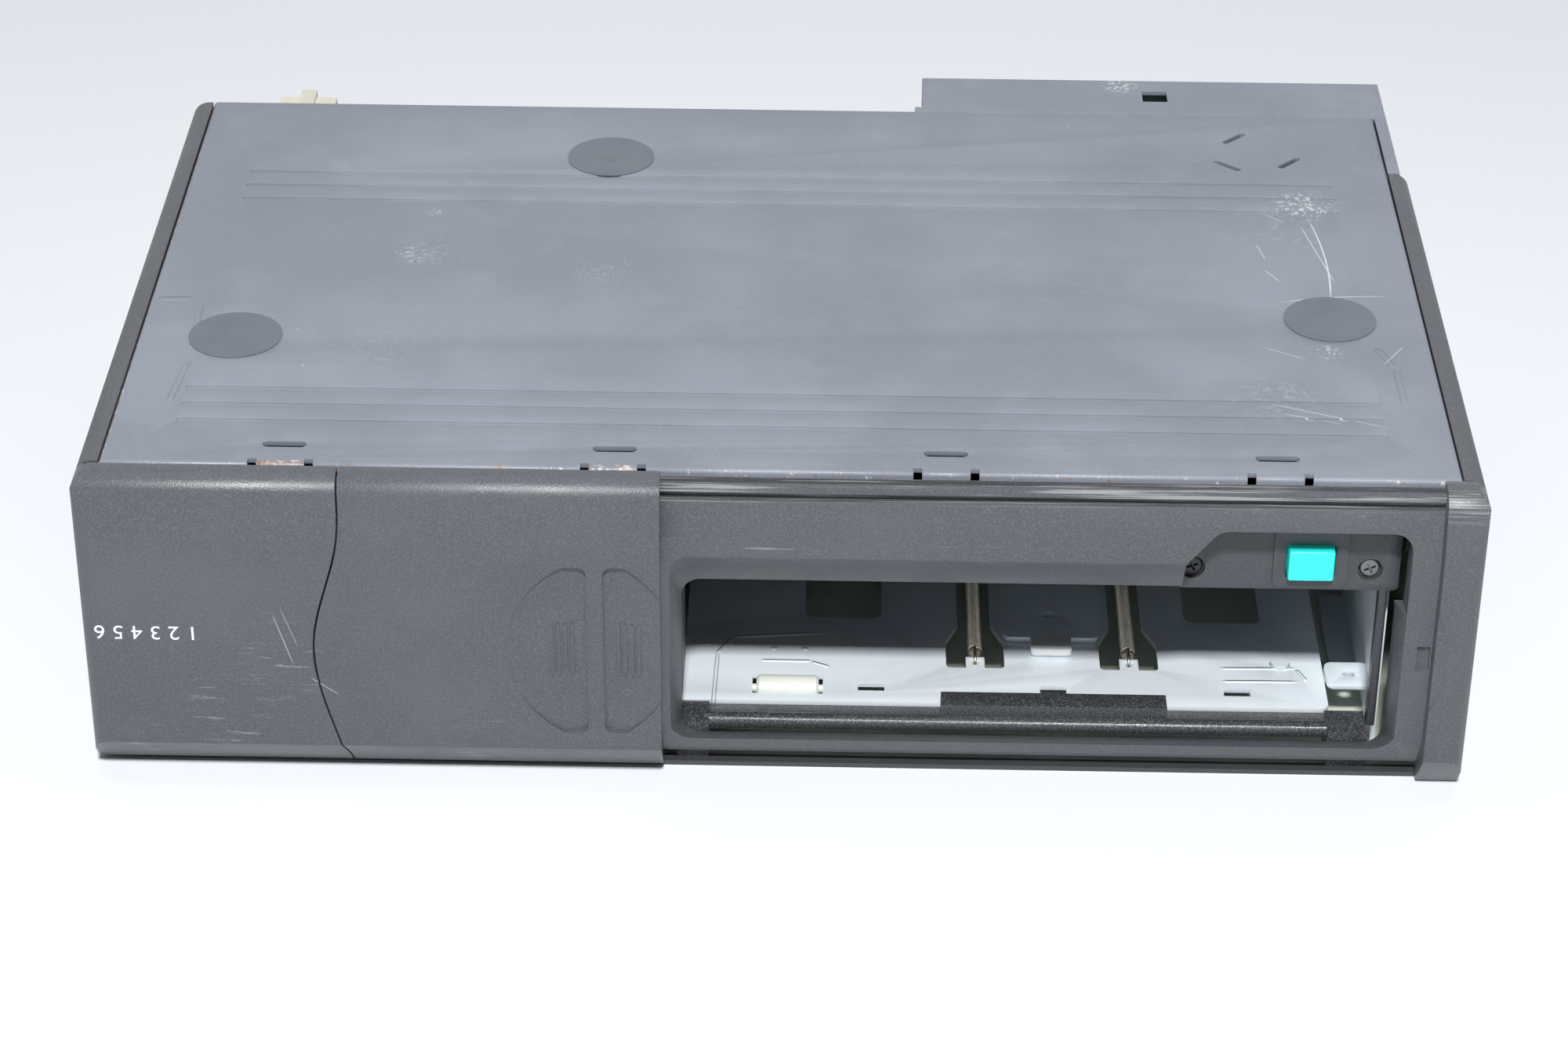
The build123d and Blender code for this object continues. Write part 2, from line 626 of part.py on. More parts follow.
def seam_curve_face(shift, right):
    """Everything on one side of the wavy seam, drawn as (x, z)."""
    far = SPAN / 2 if right else -SPAN / 2
    middle = SEAM_X + shift
    seam = Spline(
        (middle, HEIGHT + PAST),
        (middle, CREASE_Z + SHELL),
        (middle - SEAM_BOW, SEAM_MID_Z),
        (middle - SEAM_BOW / 8, SEAM_MID_Z * SEAM_FOOT),
        (middle, -PAST),
        tangents=((0, -1), (0, -1)),
    )
    rest = Polyline(seam @ 1, (far, -PAST), (far, HEIGHT + PAST), seam @ 0)
    return make_face(seam + rest)


def corner_envelope(side):
    """Limits the front to its rounded left (-1) or right (+1) outer corner, in plan and in elevation."""
    inner = side * WIDTH / 4
    outer = side * WIDTH / 2
    x = (min(inner, outer), max(inner, outer))
    plan = plate_face(x, (FRONT_Y, FRONT_Y + FRONT_DEPTH * 2), 0)
    plan = rounded(plan, [(outer, FRONT_Y)], CORNER_ROUND)
    elevation = plate_face(x, (0, NOSE_TOP), 0)
    elevation = rounded(elevation, [(outer, NOSE_TOP)], SIDE_ROUND)
    return along_z(plan, 0, HEIGHT) & along_y(elevation, FRONT_Y, FRONT_Y + FRONT_DEPTH)


def grip_outline(left, right, bulge_left):
    """A half-moon as (x, z): one nearly straight edge and one arc."""
    middle = (GRIP_BOTTOM + GRIP_TOP) / 2
    flat = right if bulge_left else left
    tip = left if bulge_left else right
    inward = -1 if bulge_left else 1
    shoulder = flat + inward * (right - left) * GRIP_SHOULDER
    arc = ThreePointArc((shoulder, GRIP_TOP), (tip, middle), (shoulder, GRIP_BOTTOM))
    edge = Polyline((shoulder, GRIP_BOTTOM), (flat, GRIP_BOTTOM), (flat, GRIP_TOP), (shoulder, GRIP_TOP))
    face = make_face(arc + edge)
    return rounded(face, [(flat, GRIP_BOTTOM), (flat, GRIP_TOP)], GRIP_ROUND)


def grip_cut(left, right, bulge_left):
    """The half-moon's hollow: deepest at the straight edge and running out at the arc's tip."""
    flat = right if bulge_left else left
    tip = left if bulge_left else right
    slope = outline(
        [
            (flat, FRONT_Y - PAST),
            (flat, FRONT_Y + GRIP_DEPTH),
            (tip, FRONT_Y + GRIP_RUNOUT),
            (tip, FRONT_Y - PAST),
        ]
    )
    wedge = along_z(slope, GRIP_BOTTOM - PAST, GRIP_TOP + PAST)
    return along_y(grip_outline(left, right, bulge_left), FRONT_Y - PAST, FRONT_Y + GRIP_DEPTH) & wedge


def grip_ribs(centre_x, left, right, bulge_left):
    """The fine upright ribs on a grip's floor, level with its middle."""
    flat = right if bulge_left else left
    tip = left if bulge_left else right
    middle = (GRIP_BOTTOM + GRIP_TOP) / 2
    ribs = []
    for index in range(RIB_COUNT):
        x = centre_x + (index - (RIB_COUNT - 1) / 2) * RIB_PITCH
        floor = FRONT_Y + GRIP_DEPTH * abs(x - tip) / abs(flat - tip)
        rib = block(
            (x - RIB_WIDTH / 2, x + RIB_WIDTH / 2),
            (floor - RIB_RISE, floor + RIB_ROOT),
            (middle - RIB_HEIGHT / 2, middle + RIB_HEIGHT / 2),
        )
        ribs.append(rib)
    return ribs


# ---- front pieces ----
def make_outer_door():
    """Outer door leaf: the shell section from the seam to its free edge, with both grips."""
    door = along_x(shell_section(), SEAM_X - SEAM_BOW * 2, DOOR_RIGHT)
    door &= along_y(seam_curve_face(SEAM_GAP / 2, True), FRONT_Y - PAST, CASE_FRONT)
    first = (GRIP_LEFT, GRIP_RIGHT, True)
    second = (SECOND_GRIP_LEFT, SECOND_GRIP_RIGHT, False)
    door -= grip_cut(*first)
    door -= grip_cut(*second)
    ribs = grip_ribs(GRIP_RIGHT - RIB_INSET, *first) + grip_ribs(SECOND_GRIP_LEFT + RIB_INSET, *second)
    for rib in ribs:
        door += rib
    return door


def make_inner_door():
    """Inner door leaf, hidden behind the outer leaf and the left panel while the door is open."""
    return along_x(leaf_section(), LEAF_LEFT, LEAF_LEFT + LEAF_WIDTH)


def make_left_panel():
    """Fixed shell round the left front corner, with its end wall."""
    left = -WIDTH / 2
    shell = along_x(shell_section(), left, SEAM_X + SEAM_BOW)
    end = along_x(nose_face(), left, left + SHELL)
    panel = shell + end
    panel &= along_y(seam_curve_face(-SEAM_GAP / 2, False), FRONT_Y - PAST, CASE_FRONT)
    corner = block((left, left / 2), (FRONT_Y, CASE_FRONT), (0, HEIGHT))
    return panel - (corner - corner_envelope(-1))


def slot_cut():
    """The tapered way in for the magazine, and the raised part that shows the eject bracket."""
    face = RectangleRounded(SLOT_RIGHT - SLOT_LEFT, SLOT_TOP - SLOT_BOTTOM, SLOT_ROUND)
    outer = Pos((SLOT_LEFT + SLOT_RIGHT) / 2, (SLOT_BOTTOM + SLOT_TOP) / 2) * face
    width = SLOT_INNER_RIGHT - SLOT_INNER_LEFT
    height = SLOT_INNER_TOP - SLOT_INNER_BOTTOM
    face = RectangleRounded(width, height, SLOT_ROUND)
    middle = ((SLOT_INNER_LEFT + SLOT_INNER_RIGHT) / 2, (SLOT_INNER_BOTTOM + SLOT_INNER_TOP) / 2)
    inner = Pos(*middle) * face
    mouth = FRONT_Y + FRAME_FACE
    end = FRONT_Y + TUNNEL_DEPTH
    taper = loft([Plane.XZ.offset(-mouth) * outer, Plane.XZ.offset(-end) * inner])
    entry = along_y(outer, FRONT_Y, mouth)
    raised = outline(
        [
            (RAISED_STEP, BRACKET_BOTTOM - PAST),
            (RAISED_STEP, SLOT_TOP),
            (RAISED_LEFT, RAISED_TOP),
            (SLOT_RIGHT, RAISED_TOP),
            (SLOT_RIGHT, BRACKET_BOTTOM - PAST),
        ]
    )
    raised = rounded(raised, [(RAISED_LEFT, RAISED_TOP), (SLOT_RIGHT, RAISED_TOP)], SLOT_ROUND)
    return taper + entry + along_y(raised, FRONT_Y, end)


def make_front_frame():
    """Frame with the slot, the door rails and the right-hand cap."""
    collar = block(
        (SLOT_LEFT - SLOT_COLLAR, SLOT_RIGHT + SLOT_COLLAR),
        (CASE_FRONT - SHEET, FRONT_Y + TUNNEL_DEPTH),
        (FRAME_BOTTOM + SHEET, SLOT_TOP + SHEET),
    )
    frame = along_x(frame_section(), FRAME_LEFT, CAP_LEFT) + collar
    cap = along_x(nose_face(CAP_BOTTOM), CAP_LEFT, WIDTH / 2) & corner_envelope(1)
    hollow_z = (CAP_BOTTOM + CAP_HOLLOW * 2, CREASE_Z + CAP_HOLLOW)
    hollow = block((CAP_LEFT + SHELL, WIDTH / 2 - SHELL), (CASE_FRONT - CAP_HOLLOW, CASE_FRONT), hollow_z)
    frame += cap - hollow
    frame -= slot_cut()
    frame -= block(LATCH_NOTCH_X, (FRONT_Y, FRONT_Y + FRAME_FACE + SHEET), LATCH_NOTCH_Z)
    crescent = grip_cut(SECOND_GRIP_LEFT + DOOR_TRAVEL, SECOND_GRIP_RIGHT + DOOR_TRAVEL, False)
    frame -= crescent & block((CAP_LEFT, WIDTH / 2), (FRONT_Y, CASE_FRONT), (0, HEIGHT))
    for x in LOUVRE_X:
        frame += frame_hook(x)
    return frame


def frame_hook(x):
    """A snap hook that passes through the case's front flange."""
    half = LOUVRE_SIZE[0] / 2
    y = (CASE_FRONT - SHEET, CASE_FRONT + SHEET + SNAP_REACH)
    return block((x - half, x + half), y, (PLATE_UNDER - SNAP_LOW, PLATE_UNDER - SNAP_HIGH))


def make_eject_bracket():
    """Bracket above the slot: button surround, panel and two counterbored screw seats."""
    front = FRONT_Y + BRACKET_DEPTH
    back = front + BRACKET_THICKNESS
    face = plate_face((BRACKET_LEFT, BRACKET_RIGHT), (BRACKET_BOTTOM, BRACKET_TOP), BRACKET_ROUND)
    bracket = along_y(face, front, back)
    surround_x = (BUTTON_LEFT - SURROUND_MARGIN, BUTTON_LEFT + BUTTON_WIDTH + SURROUND_MARGIN)
    surround_z = (BRACKET_BOTTOM + SURROUND_PROUD, RAISED_TOP + SURROUND_TOP)
    surround = plate_face(surround_x, surround_z, SURROUND_ROUND)
    bracket += along_y(surround, front - SURROUND_PROUD, front + SEAT_GAP)
    button = plate_face(
        (BUTTON_LEFT - BUTTON_GAP, BUTTON_LEFT + BUTTON_WIDTH + BUTTON_GAP),
        (BUTTON_BOTTOM - BUTTON_GAP, BUTTON_BOTTOM + BUTTON_HEIGHT + BUTTON_GAP),
        BUTTON_ROUND,
    )
    bracket -= along_y(button, front - PAST, back)
    for x in BRACKET_SCREW_X:
        centre = (x, BRACKET_SCREW_Z)
        bracket -= rod("y", centre, SMALL_HEAD_RADIUS + SMALL_HEAD_ROOM, front - PAST, front + SMALL_HEAD_HEIGHT)
        bracket -= rod("y", centre, SMALL_SHANK_RADIUS + SCREW_ROOM * 2, front, back)
    lip_x = (SIDE_GUIDE_X - SHEET - LIP_OVERLAP, SIDE_GUIDE_X - SEAT_GAP - SHEET + LIP_OVERLAP)
    lip = plate_face(lip_x, (front + SEAT_GAP, back + SHEET * 1.5), BUTTON_ROUND)
    return bracket + along_z(lip, FLOOR_TOP + SEAT_GAP, BRACKET_BOTTOM + SHEET)


def make_bracket_screws():
    """Two small screws that hold the eject bracket to the bay roof's front flange."""
    seat = FRONT_Y + BRACKET_DEPTH + SMALL_HEAD_HEIGHT
    head = (SMALL_HEAD_RADIUS, SMALL_HEAD_HEIGHT)
    shank = (SMALL_SHANK_RADIUS, SMALL_SHANK_LENGTH)
    return [screw("y", (x, BRACKET_SCREW_Z), seat, 1, head, shank) for x in BRACKET_SCREW_X]


def make_eject_button():
    """Push button with a stem that reaches the latch lever."""
    front = FRONT_Y + BRACKET_DEPTH - BUTTON_PROUD
    body_x = (BUTTON_LEFT, BUTTON_LEFT + BUTTON_WIDTH)
    body_z = (BUTTON_BOTTOM, BUTTON_BOTTOM + BUTTON_HEIGHT)
    back = FRONT_Y + BRACKET_DEPTH + BRACKET_THICKNESS + BUTTON_TRAVEL
    body = along_y(plate_face(body_x, body_z, BUTTON_ROUND), front, back)
    rim = body.faces().sort_by(Axis.Y)[0].edges()
    body = fillet(rim, BUTTON_RIM)
    collar_x = (body_x[0] - COLLAR_WIDTH, body_x[1] + COLLAR_WIDTH)
    collar_z = (body_z[0] - COLLAR_WIDTH, body_z[1] + COLLAR_WIDTH)
    collar_front = flange_front() + BODY_GAP
    body += along_y(plate_face(collar_x, collar_z, BUTTON_ROUND), collar_front, collar_front + COLLAR_THICKNESS)
    return body + rod("y", button_centre(), STEM_RADIUS, back - BUTTON_TRAVEL / 2, back + STEM_REACH)


def button_centre():
    """Centre of the button, as (x, z)."""
    return (BUTTON_LEFT + BUTTON_WIDTH / 2, BUTTON_BOTTOM + BUTTON_HEIGHT / 2)


def make_button_spring():
    """Plain sleeve in place of the hidden spring round the button's stem."""
    start = flange_front() + BUTTON_TRAVEL + BODY_GAP
    end = flange_front() + STOP_BACK
    inner, outer = BUTTON_SPRING
    ring = Circle(outer) - Circle(inner)
    return along_y(Pos(*button_centre()) * ring, start, end)


# ---- case ----
def groove_cutters():
    """Two groups of three shallow grooves across the plate."""
    cutters = []
    for group in (FRONT_GROOVES, REAR_GROOVES):
        for index in (-1, 0, 1):
            y = case_y(group + index * GROOVE_PITCH)
            face = Pos(0, y) * SlotOverall((CASE_HALF - GROOVE_MARGIN) * 2, GROOVE_WIDTH)
            cutters.append(along_z(face, PLATE_TOP - GROOVE_DEPTH, PLATE_TOP + PAST))
    return cutters


def plate_cutters():
    """Louvres, notches, seal holes and the slanted slots of the upper cover."""
    low, high = PLATE_UNDER - PAST, PLATE_TOP + PAST
    cutters = groove_cutters()
    for x in LOUVRE_X:
        cutters.append(along_z(Pos(x, case_y(LOUVRE_BACK)) * SlotOverall(*LOUVRE_SIZE), low, high))
        for side in (-1, 1):
            middle = x + side * NOTCH_SPREAD / 2
            width = (middle - NOTCH_SIZE[0] / 2, middle + NOTCH_SIZE[0] / 2)
            cutters.append(block(width, (CASE_FRONT - PAST, CASE_FRONT + NOTCH_SIZE[1]), (low, high)))
    for x, back in SEAL_SPOTS:
        cutters.append(rod("z", (x, case_y(back)), SEAL_HOLE_RADIUS, low, high))
    for x, back, angle in SLANTED_LOUVRES:
        slot = Pos(x, case_y(back)) * Rot(0, 0, angle) * SlotOverall(*SLANTED_SIZE)
        cutters.append(along_z(slot, low, high))
    return cutters


def make_upper_cover():
    """Painted plate with short side flanges and a bent front edge."""
    outer = block((-CASE_HALF, CASE_HALF), (CASE_FRONT, CASE_BACK), (PLATE_UNDER - FLANGE_DROP, PLATE_TOP))
    long_edges = outer.edges().filter_by(Axis.Y).group_by(Axis.Z)[-1]
    front_edge = outer.edges().filter_by(Axis.X).group_by(Axis.Z)[-1].sort_by(Axis.Y)[0]
    outer = fillet([*long_edges, front_edge], SHEET * 0.8)
    inside_z = (PLATE_UNDER - FLANGE_DROP - PAST, PLATE_UNDER)
    cover = outer - block((-TRAY_HALF, TRAY_HALF), (CASE_FRONT + SHEET, CASE_BACK + PAST), inside_z)
    for cutter in plate_cutters():
        cover -= cutter
    for x in LOUVRE_X:
        half = LOUVRE_SIZE[0] / 2 + SEAT_GAP
        window_z = (PLATE_UNDER - SNAP_LOW - SEAT_GAP, PLATE_UNDER - SNAP_HIGH + SEAT_GAP)
        cover -= block((x - half, x + half), (CASE_FRONT - PAST, CASE_FRONT + SHEET + PAST / 2), window_z)
    return cover


def make_lower_cover():
    """Tray: the bottom sheet with its rear wall bent up."""
    tray = block((-TRAY_HALF, TRAY_HALF), (CASE_FRONT, CASE_BACK), (0, SHEET))
    tray += block((-TRAY_HALF, TRAY_HALF), (CASE_BACK - SHEET, CASE_BACK), (0, PLATE_UNDER - SEAT_GAP))
    wall = (CASE_BACK - SHEET - PAST, CASE_BACK + PAST)
    board_way = (BOARD_Z - PLUG_SIZE[2], PLATE_UNDER)
    tray -= block((BOX_LEFT + BOARD_MARGIN, TRAY_HALF - BOARD_MARGIN), wall, board_way)
    reach = CABLE_SOCKET_WIDTH / 2 + SHELL
    socket_z = (CABLE_SOCKET_Z[0] - BODY_GAP, CABLE_SOCKET_Z[1] + BODY_GAP)
    tray -= block((CABLE_SOCKET_X - reach, CABLE_SOCKET_X + reach), wall, socket_z)
    for place in REAR_SCREWS:
        tray -= rod("y", place, PAN_SHANK_RADIUS + SCREW_ROOM, *wall)
    return tray


def make_side_plate(side):
    """Upright side plate of the chassis, standing on the tray and carrying the mounting nuts."""
    x = sorted((side * TRAY_HALF, side * (TRAY_HALF - SHEET)))
    cut_x = (x[0] - PAST, x[1] + PAST)
    plate = block(x, (CASE_FRONT, CASE_BACK - SHEET - SEAT_GAP), (SHEET + SEAT_GAP, PLATE_UNDER - SEAT_GAP))
    corner_y = (CASE_FRONT - PAST, CASE_FRONT + SHEET + SEAT_GAP)
    plate -= block(cut_x, corner_y, (PLATE_UNDER - FLANGE_DROP - SEAT_GAP, HEIGHT))
    for y in MOUNT_Y:
        plate -= rod("x", (y, MOUNT_Z), MOUNT_SHANK_RADIUS + FIT, *cut_x)
    if side < 0:
        for back in CAM_RIVET_BACK:
            plate -= rod("x", (case_y(back), CAM_RIVET_Z), CAM_RIVET_TAIL, *cut_x)
    return plate


def make_hole_seals():
    """Three thin round stickers over the transport-screw holes."""
    return [rod("z", (x, case_y(back)), SEAL_RADIUS, PLATE_TOP, HEIGHT) for x, back in SEAL_SPOTS]


def make_side_cover(side, length):
    """Side cover: a thin wall with its upper and lower edges rounded inwards, and ribs against the case."""
    outer_x = side * WIDTH / 2
    inner_x = side * (CASE_HALF + SEAT_GAP)
    x = (min(outer_x, inner_x), max(outer_x, inner_x))
    y0 = CASE_FRONT + SEAT_GAP
    y1 = y0 + length - SEAT_GAP
    face = plate_face(x, (SIDE_FOOT, NOSE_TOP), 0)
    face = rounded(face, [(outer_x, NOSE_TOP)], SIDE_ROUND)
    face = rounded(face, [(outer_x, SIDE_FOOT)], SIDE_FOOT_ROUND)
    body = along_y(face, y0, y1)
    hollow_x = sorted((outer_x - side * SIDE_WALL, inner_x - side * PAST))
    body -= block(hollow_x, (y0 + SHEET, y1 - SHEET), (SIDE_FOOT + SIDE_WALL, NOSE_TOP - SIDE_ROUND))
    rib_count = round(length / SIDE_RIB_SPACING)
    for index in range(1, rib_count):
        y = y0 + index * length / rib_count
        body += block(
            (outer_x - side * SIDE_WALL / 2, side * (TRAY_HALF + SEAT_GAP)),
            (y - SHEET / 2, y + SHEET / 2),
            (SIDE_WALL, PLATE_UNDER - FLANGE_DROP - SHEET),
        )
    for y in MOUNT_Y:
        body += rod("x", (y, MOUNT_Z), MOUNT_SHANK_RADIUS + MOUNT_BOSS, *sorted((outer_x - side * SHEET, inner_x)))
        body -= rod("x", (y, MOUNT_Z), MOUNT_SHANK_RADIUS + SEAT_GAP, *sorted((outer_x, side * TRAY_HALF)))
    return body


def make_mount_nuts():
    """Four threaded inserts through the case's side walls, for the mounting brackets."""
    nuts = []
    for side in (-1, 1):
        inside = side * (TRAY_HALF - SHEET)
        outside = side * (WIDTH / 2 - MOUNT_RECESS)
        for y in MOUNT_Y:
            flange = rod("x", (y, MOUNT_Z), MOUNT_FLANGE_RADIUS, *sorted((inside, inside - side * MOUNT_FLANGE)))
            shank = rod("x", (y, MOUNT_Z), MOUNT_SHANK_RADIUS, *sorted((inside, outside)))
            thread = rod("x", (y, MOUNT_Z), MOUNT_THREAD_RADIUS, *sorted((inside - side * MOUNT_FLANGE, outside)))
            nuts.append(flange + shank - thread)
    return nuts


# ---- rear ----
def make_rear_box():
    """Sheet box behind the right half, with a wing round the case's right rear corner."""
    side_start = case_y(RIGHT_COVER_DEPTH) + SEAT_GAP
    foot = outline(
        [
            (BOX_LEFT, CASE_BACK),
            (BOX_LEFT, BOX_BACK),
            (BOX_RIGHT, BOX_BACK),
            (BOX_RIGHT, side_start),
            (CASE_HALF + SEAT_GAP, side_start),
            (CASE_HALF + SEAT_GAP, CASE_BACK),
        ]
    )
    room = outline(
        [
            (BOX_LEFT + SHEET, CASE_BACK - PAST),
            (BOX_LEFT + SHEET, BOX_BACK - SHEET),
            (BOX_RIGHT - SHEET, BOX_BACK - SHEET),
            (BOX_RIGHT - SHEET, side_start + SHEET),
            (CASE_HALF - PAST, side_start + SHEET),
            (CASE_HALF - PAST, CASE_BACK - PAST),
        ]
    )
    box = along_z(foot, 0, PLATE_TOP) - along_z(room, SHEET, PLATE_UNDER)
    lip_x = (BOX_LEFT - BOX_LIP[0], BOX_LEFT + SHEET / 2)
    box += block(lip_x, (CASE_BACK, CASE_BACK + BOX_LIP[1]), (SHEET, PLATE_TOP))
    x, back = SIGHT_HOLE_PLACE
    width, depth = SIGHT_HOLE_SIZE
    hole = Pos(x, case_y(back)) * Rectangle(width, depth)
    box -= along_z(hole, PLATE_UNDER - PAST, PLATE_TOP + PAST)
    box -= rod("y", SOCKET_PLACE, SOCKET_RADIUS + SEAT_GAP, BOX_BACK - SHEET - PAST, BOX_BACK + PAST)
    for z in BOX_SCREW_Z:
        box -= rod("x", (BOX_SCREW_Y, z), PAN_SHANK_RADIUS + SCREW_ROOM, BOX_RIGHT - SHEET - PAST, BOX_RIGHT + PAST)
    return box


def socket_pins(start, end):
    """Two rings of square pins round the socket's axis."""
    x, z = SOCKET_PLACE
    half = PIN_SIZE / 2
    pins = []
    for radius, count in PIN_RINGS:
        for index in range(count):
            angle = 2 * math.pi * index / count
            pin_x = x + radius * math.cos(angle)
            pin_z = z + radius * math.sin(angle)
            pins.append(block((pin_x - half, pin_x + half), (start, end), (pin_z - half, pin_z + half)))
    return pins


def make_rear_socket():
    """Round socket with a pin field, a flange inside the wall and a post up to the board."""
    face = BOX_BACK - SEAT_GAP
    wall = BOX_BACK - SHEET
    rear = wall - SOCKET_REACH
    socket = rod("y", SOCKET_PLACE, SOCKET_RADIUS + SOCKET_FLANGE, wall - SOCKET_FLANGE, wall)
    socket += rod("y", SOCKET_PLACE, SOCKET_RADIUS, rear, face)
    socket -= rod("y", SOCKET_PLACE, SOCKET_RADIUS - SOCKET_WALL, rear + SOCKET_FLOOR, face + PAST)
    for pin in socket_pins(rear + SOCKET_FLOOR / 2, face - PIN_RECESS):
        socket += pin
    x, z = SOCKET_PLACE
    post_x = (x - SOCKET_FLANGE, x + SOCKET_FLANGE)
    return socket + block(post_x, (rear, wall - SOCKET_FLANGE), (z + SOCKET_RADIUS - SOCKET_WALL / 2, BOARD_Z))


def make_cable_socket():
    """Cream cable header that stands out behind the left rear edge."""
    low, high = CABLE_SOCKET_Z
    wall = CASE_BACK - SHEET
    half = CABLE_SOCKET_WIDTH / 2
    inner = half - CABLE_SOCKET_WALL
    end = CASE_BACK + CABLE_SOCKET_REACH
    shell = block((CABLE_SOCKET_X - half, CABLE_SOCKET_X + half), (CASE_BACK - CABLE_SOCKET_DEPTH, end), (low, high))
    shell -= block(
        (CABLE_SOCKET_X - inner, CABLE_SOCKET_X + inner),
        (CASE_BACK - CABLE_LATCH[0], end + PAST),
        (low + CABLE_SOCKET_WALL, high - CABLE_SOCKET_WALL),
    )
    latch_half = CABLE_LATCH[0] / 2
    latch_y = (CASE_BACK + CABLE_LATCH[1], CASE_BACK + CABLE_LATCH[2])
    shell += block((CABLE_SOCKET_X - latch_half, CABLE_SOCKET_X + latch_half), latch_y, (high - SHEET / 2, high + SHEET))
    collar = half + SHELL + SHEET
    collar_z = (low - CABLE_SOCKET_WALL, PLATE_UNDER - SEAT_GAP)
    return shell + block((CABLE_SOCKET_X - collar, CABLE_SOCKET_X + collar), (wall - SHEET, wall), collar_z)


def make_main_board():
    """Circuit board over the bay, reaching into the rear box under the sight hole."""
    left = BOX_LEFT + BOARD_MARGIN * 2
    right = CASE_HALF - BOARD_MARGIN - SHEET
    box_right = TRAY_HALF - BOARD_MARGIN * 1.5
    inside = CASE_BACK - BOARD_MARGIN
    rear = BOX_BACK - SHEET * 2
    face = outline(
        [
            (left, case_y(BOARD_POST_BACK[0]) - BOARD_MARGIN * 1.5),
            (right, case_y(BOARD_POST_BACK[0]) - BOARD_MARGIN * 1.5),
            (right, inside),
            (box_right, inside),
            (box_right, rear),
            (BOX_LEFT + BOARD_MARGIN + SHEET, rear),
            (BOX_LEFT + BOARD_MARGIN + SHEET, inside),
            (left, inside - BOARD_MARGIN * 2),
        ]
    )
    board = along_z(face, BOARD_Z, BOARD_Z + BOARD_THICKNESS)
    for x, y in board_posts():
        board -= rod("z", (x, y), BOARD_HOLE_RADIUS, BOARD_Z - PAST, BOARD_Z + BOARD_THICKNESS + PAST)
    for (x, back), (width, depth, height) in ((CHIP_PLACE, CHIP_SIZE), (PLUG_PLACE, PLUG_SIZE)):
        board += along_z(Pos(x, case_y(back)) * Rectangle(width, depth), BOARD_Z - height, BOARD_Z)
    return board


def board_posts():
    """Where the board stands on the bay roof, as (x, y)."""
    return [(x, case_y(back)) for x in BOARD_POST_X for back in BOARD_POST_BACK]


def make_cover_screws():
    """Pan-head screws in the tray's rear wall and in the rear box's side."""
    head = (PAN_HEAD_RADIUS, PAN_HEAD_HEIGHT)
    shank = (PAN_SHANK_RADIUS, PAN_SHANK_LENGTH)
    screws = [screw("y", place, CASE_BACK, -1, head, shank) for place in REAR_SCREWS]
    short = (PAN_SHANK_RADIUS, BOX_SCREW_REACH)
    screws += [screw("x", (BOX_SCREW_Y, z), BOX_RIGHT, -1, head, short) for z in BOX_SCREW_Z]
    return screws


# ---- magazine bay ----
def channel_face(x):
    """A spring's channel in the floor plate, flared at its front, as (x, y)."""
    half = CHANNEL_WIDTH / 2
    wide = half + CHANNEL_FLARE
    front = case_y(CHANNEL_FRONT)
    flare = front + CHANNEL_FLARE_LENGTH
    narrow = flare + CHANNEL_TAPER_LENGTH
    rear = case_y(CHANNEL_REAR)
    face = outline(
        [
            (x - wide, front),
            (x + wide, front),
            (x + wide, flare),
            (x + half, narrow),
            (x + half, rear),
            (x - half, rear),
            (x - half, narrow),
            (x - wide, flare),
        ]
    )
    return rounded(face, [(x - wide, front), (x + wide, front)], BRACKET_ROUND)


def make_floor_plate():
    """Bright plate on the bay's floor, with the spring channels, windows and tab slots."""
    face = plate_face((FLOOR_LEFT, FLOOR_RIGHT), (case_y(FLOOR_FRONT), case_y(BAY_REAR)), FLOOR_ROUND)
    for x in SPRING_X:
        face -= channel_face(x)
    for x, back in WINDOW_SPOTS:
        face -= plate_face((x, x + WINDOW_SIZE[0]), (case_y(back), case_y(back) + WINDOW_SIZE[1]), WINDOW_ROUND)
    for x in TAB_SLOT_X:
        face -= Pos(x, case_y(TAB_SLOT_BACK)) * Rectangle(*TAB_SLOT_SIZE)
    roller_y = case_y(ROLLER_BACK)
    reach = ROLLER_RADIUS + ROLLER_ROOM
    roller_x = (ROLLER_X[0] - EAR_REACH, ROLLER_X[1] + EAR_REACH)
    face -= plate_face(roller_x, (roller_y - reach, roller_y + reach), 0)
    plate = along_z(face, FLOOR_UNDER, FLOOR_TOP)
    plate += along_z(front_lip_face(), FLOOR_UNDER - FLOOR_LIP, FLOOR_UNDER)
    for x in SPRING_X:
        plate += spring_tongue(x)
    for x in (roller_x[0], roller_x[1] - EAR_SHEET):
        ear = block((x, x + EAR_SHEET), (roller_y - reach, roller_y + reach), (FLOOR_UNDER - EAR_DROP, FLOOR_TOP))
        plate += ear - rod("x", (roller_y, FLOOR_UNDER), ROLLER_PIN_RADIUS + FIT, x - PAST, x + EAR_SHEET + PAST)
    for x, back in DAMPER_SPOTS:
        plate -= rod("z", (x, case_y(back)), DAMPER_HOLE_RADIUS, FLOOR_UNDER - PAST, FLOOR_TOP + PAST)
    return plate


def front_lip_face():
    """The bent-down front edge of the floor plate, as (x, y)."""
    y = case_y(FLOOR_FRONT)
    margin = FLOOR_ROUND * 2
    return plate_face((FLOOR_LEFT + margin, FLOOR_RIGHT - margin), (y, y + SHEET), 0)


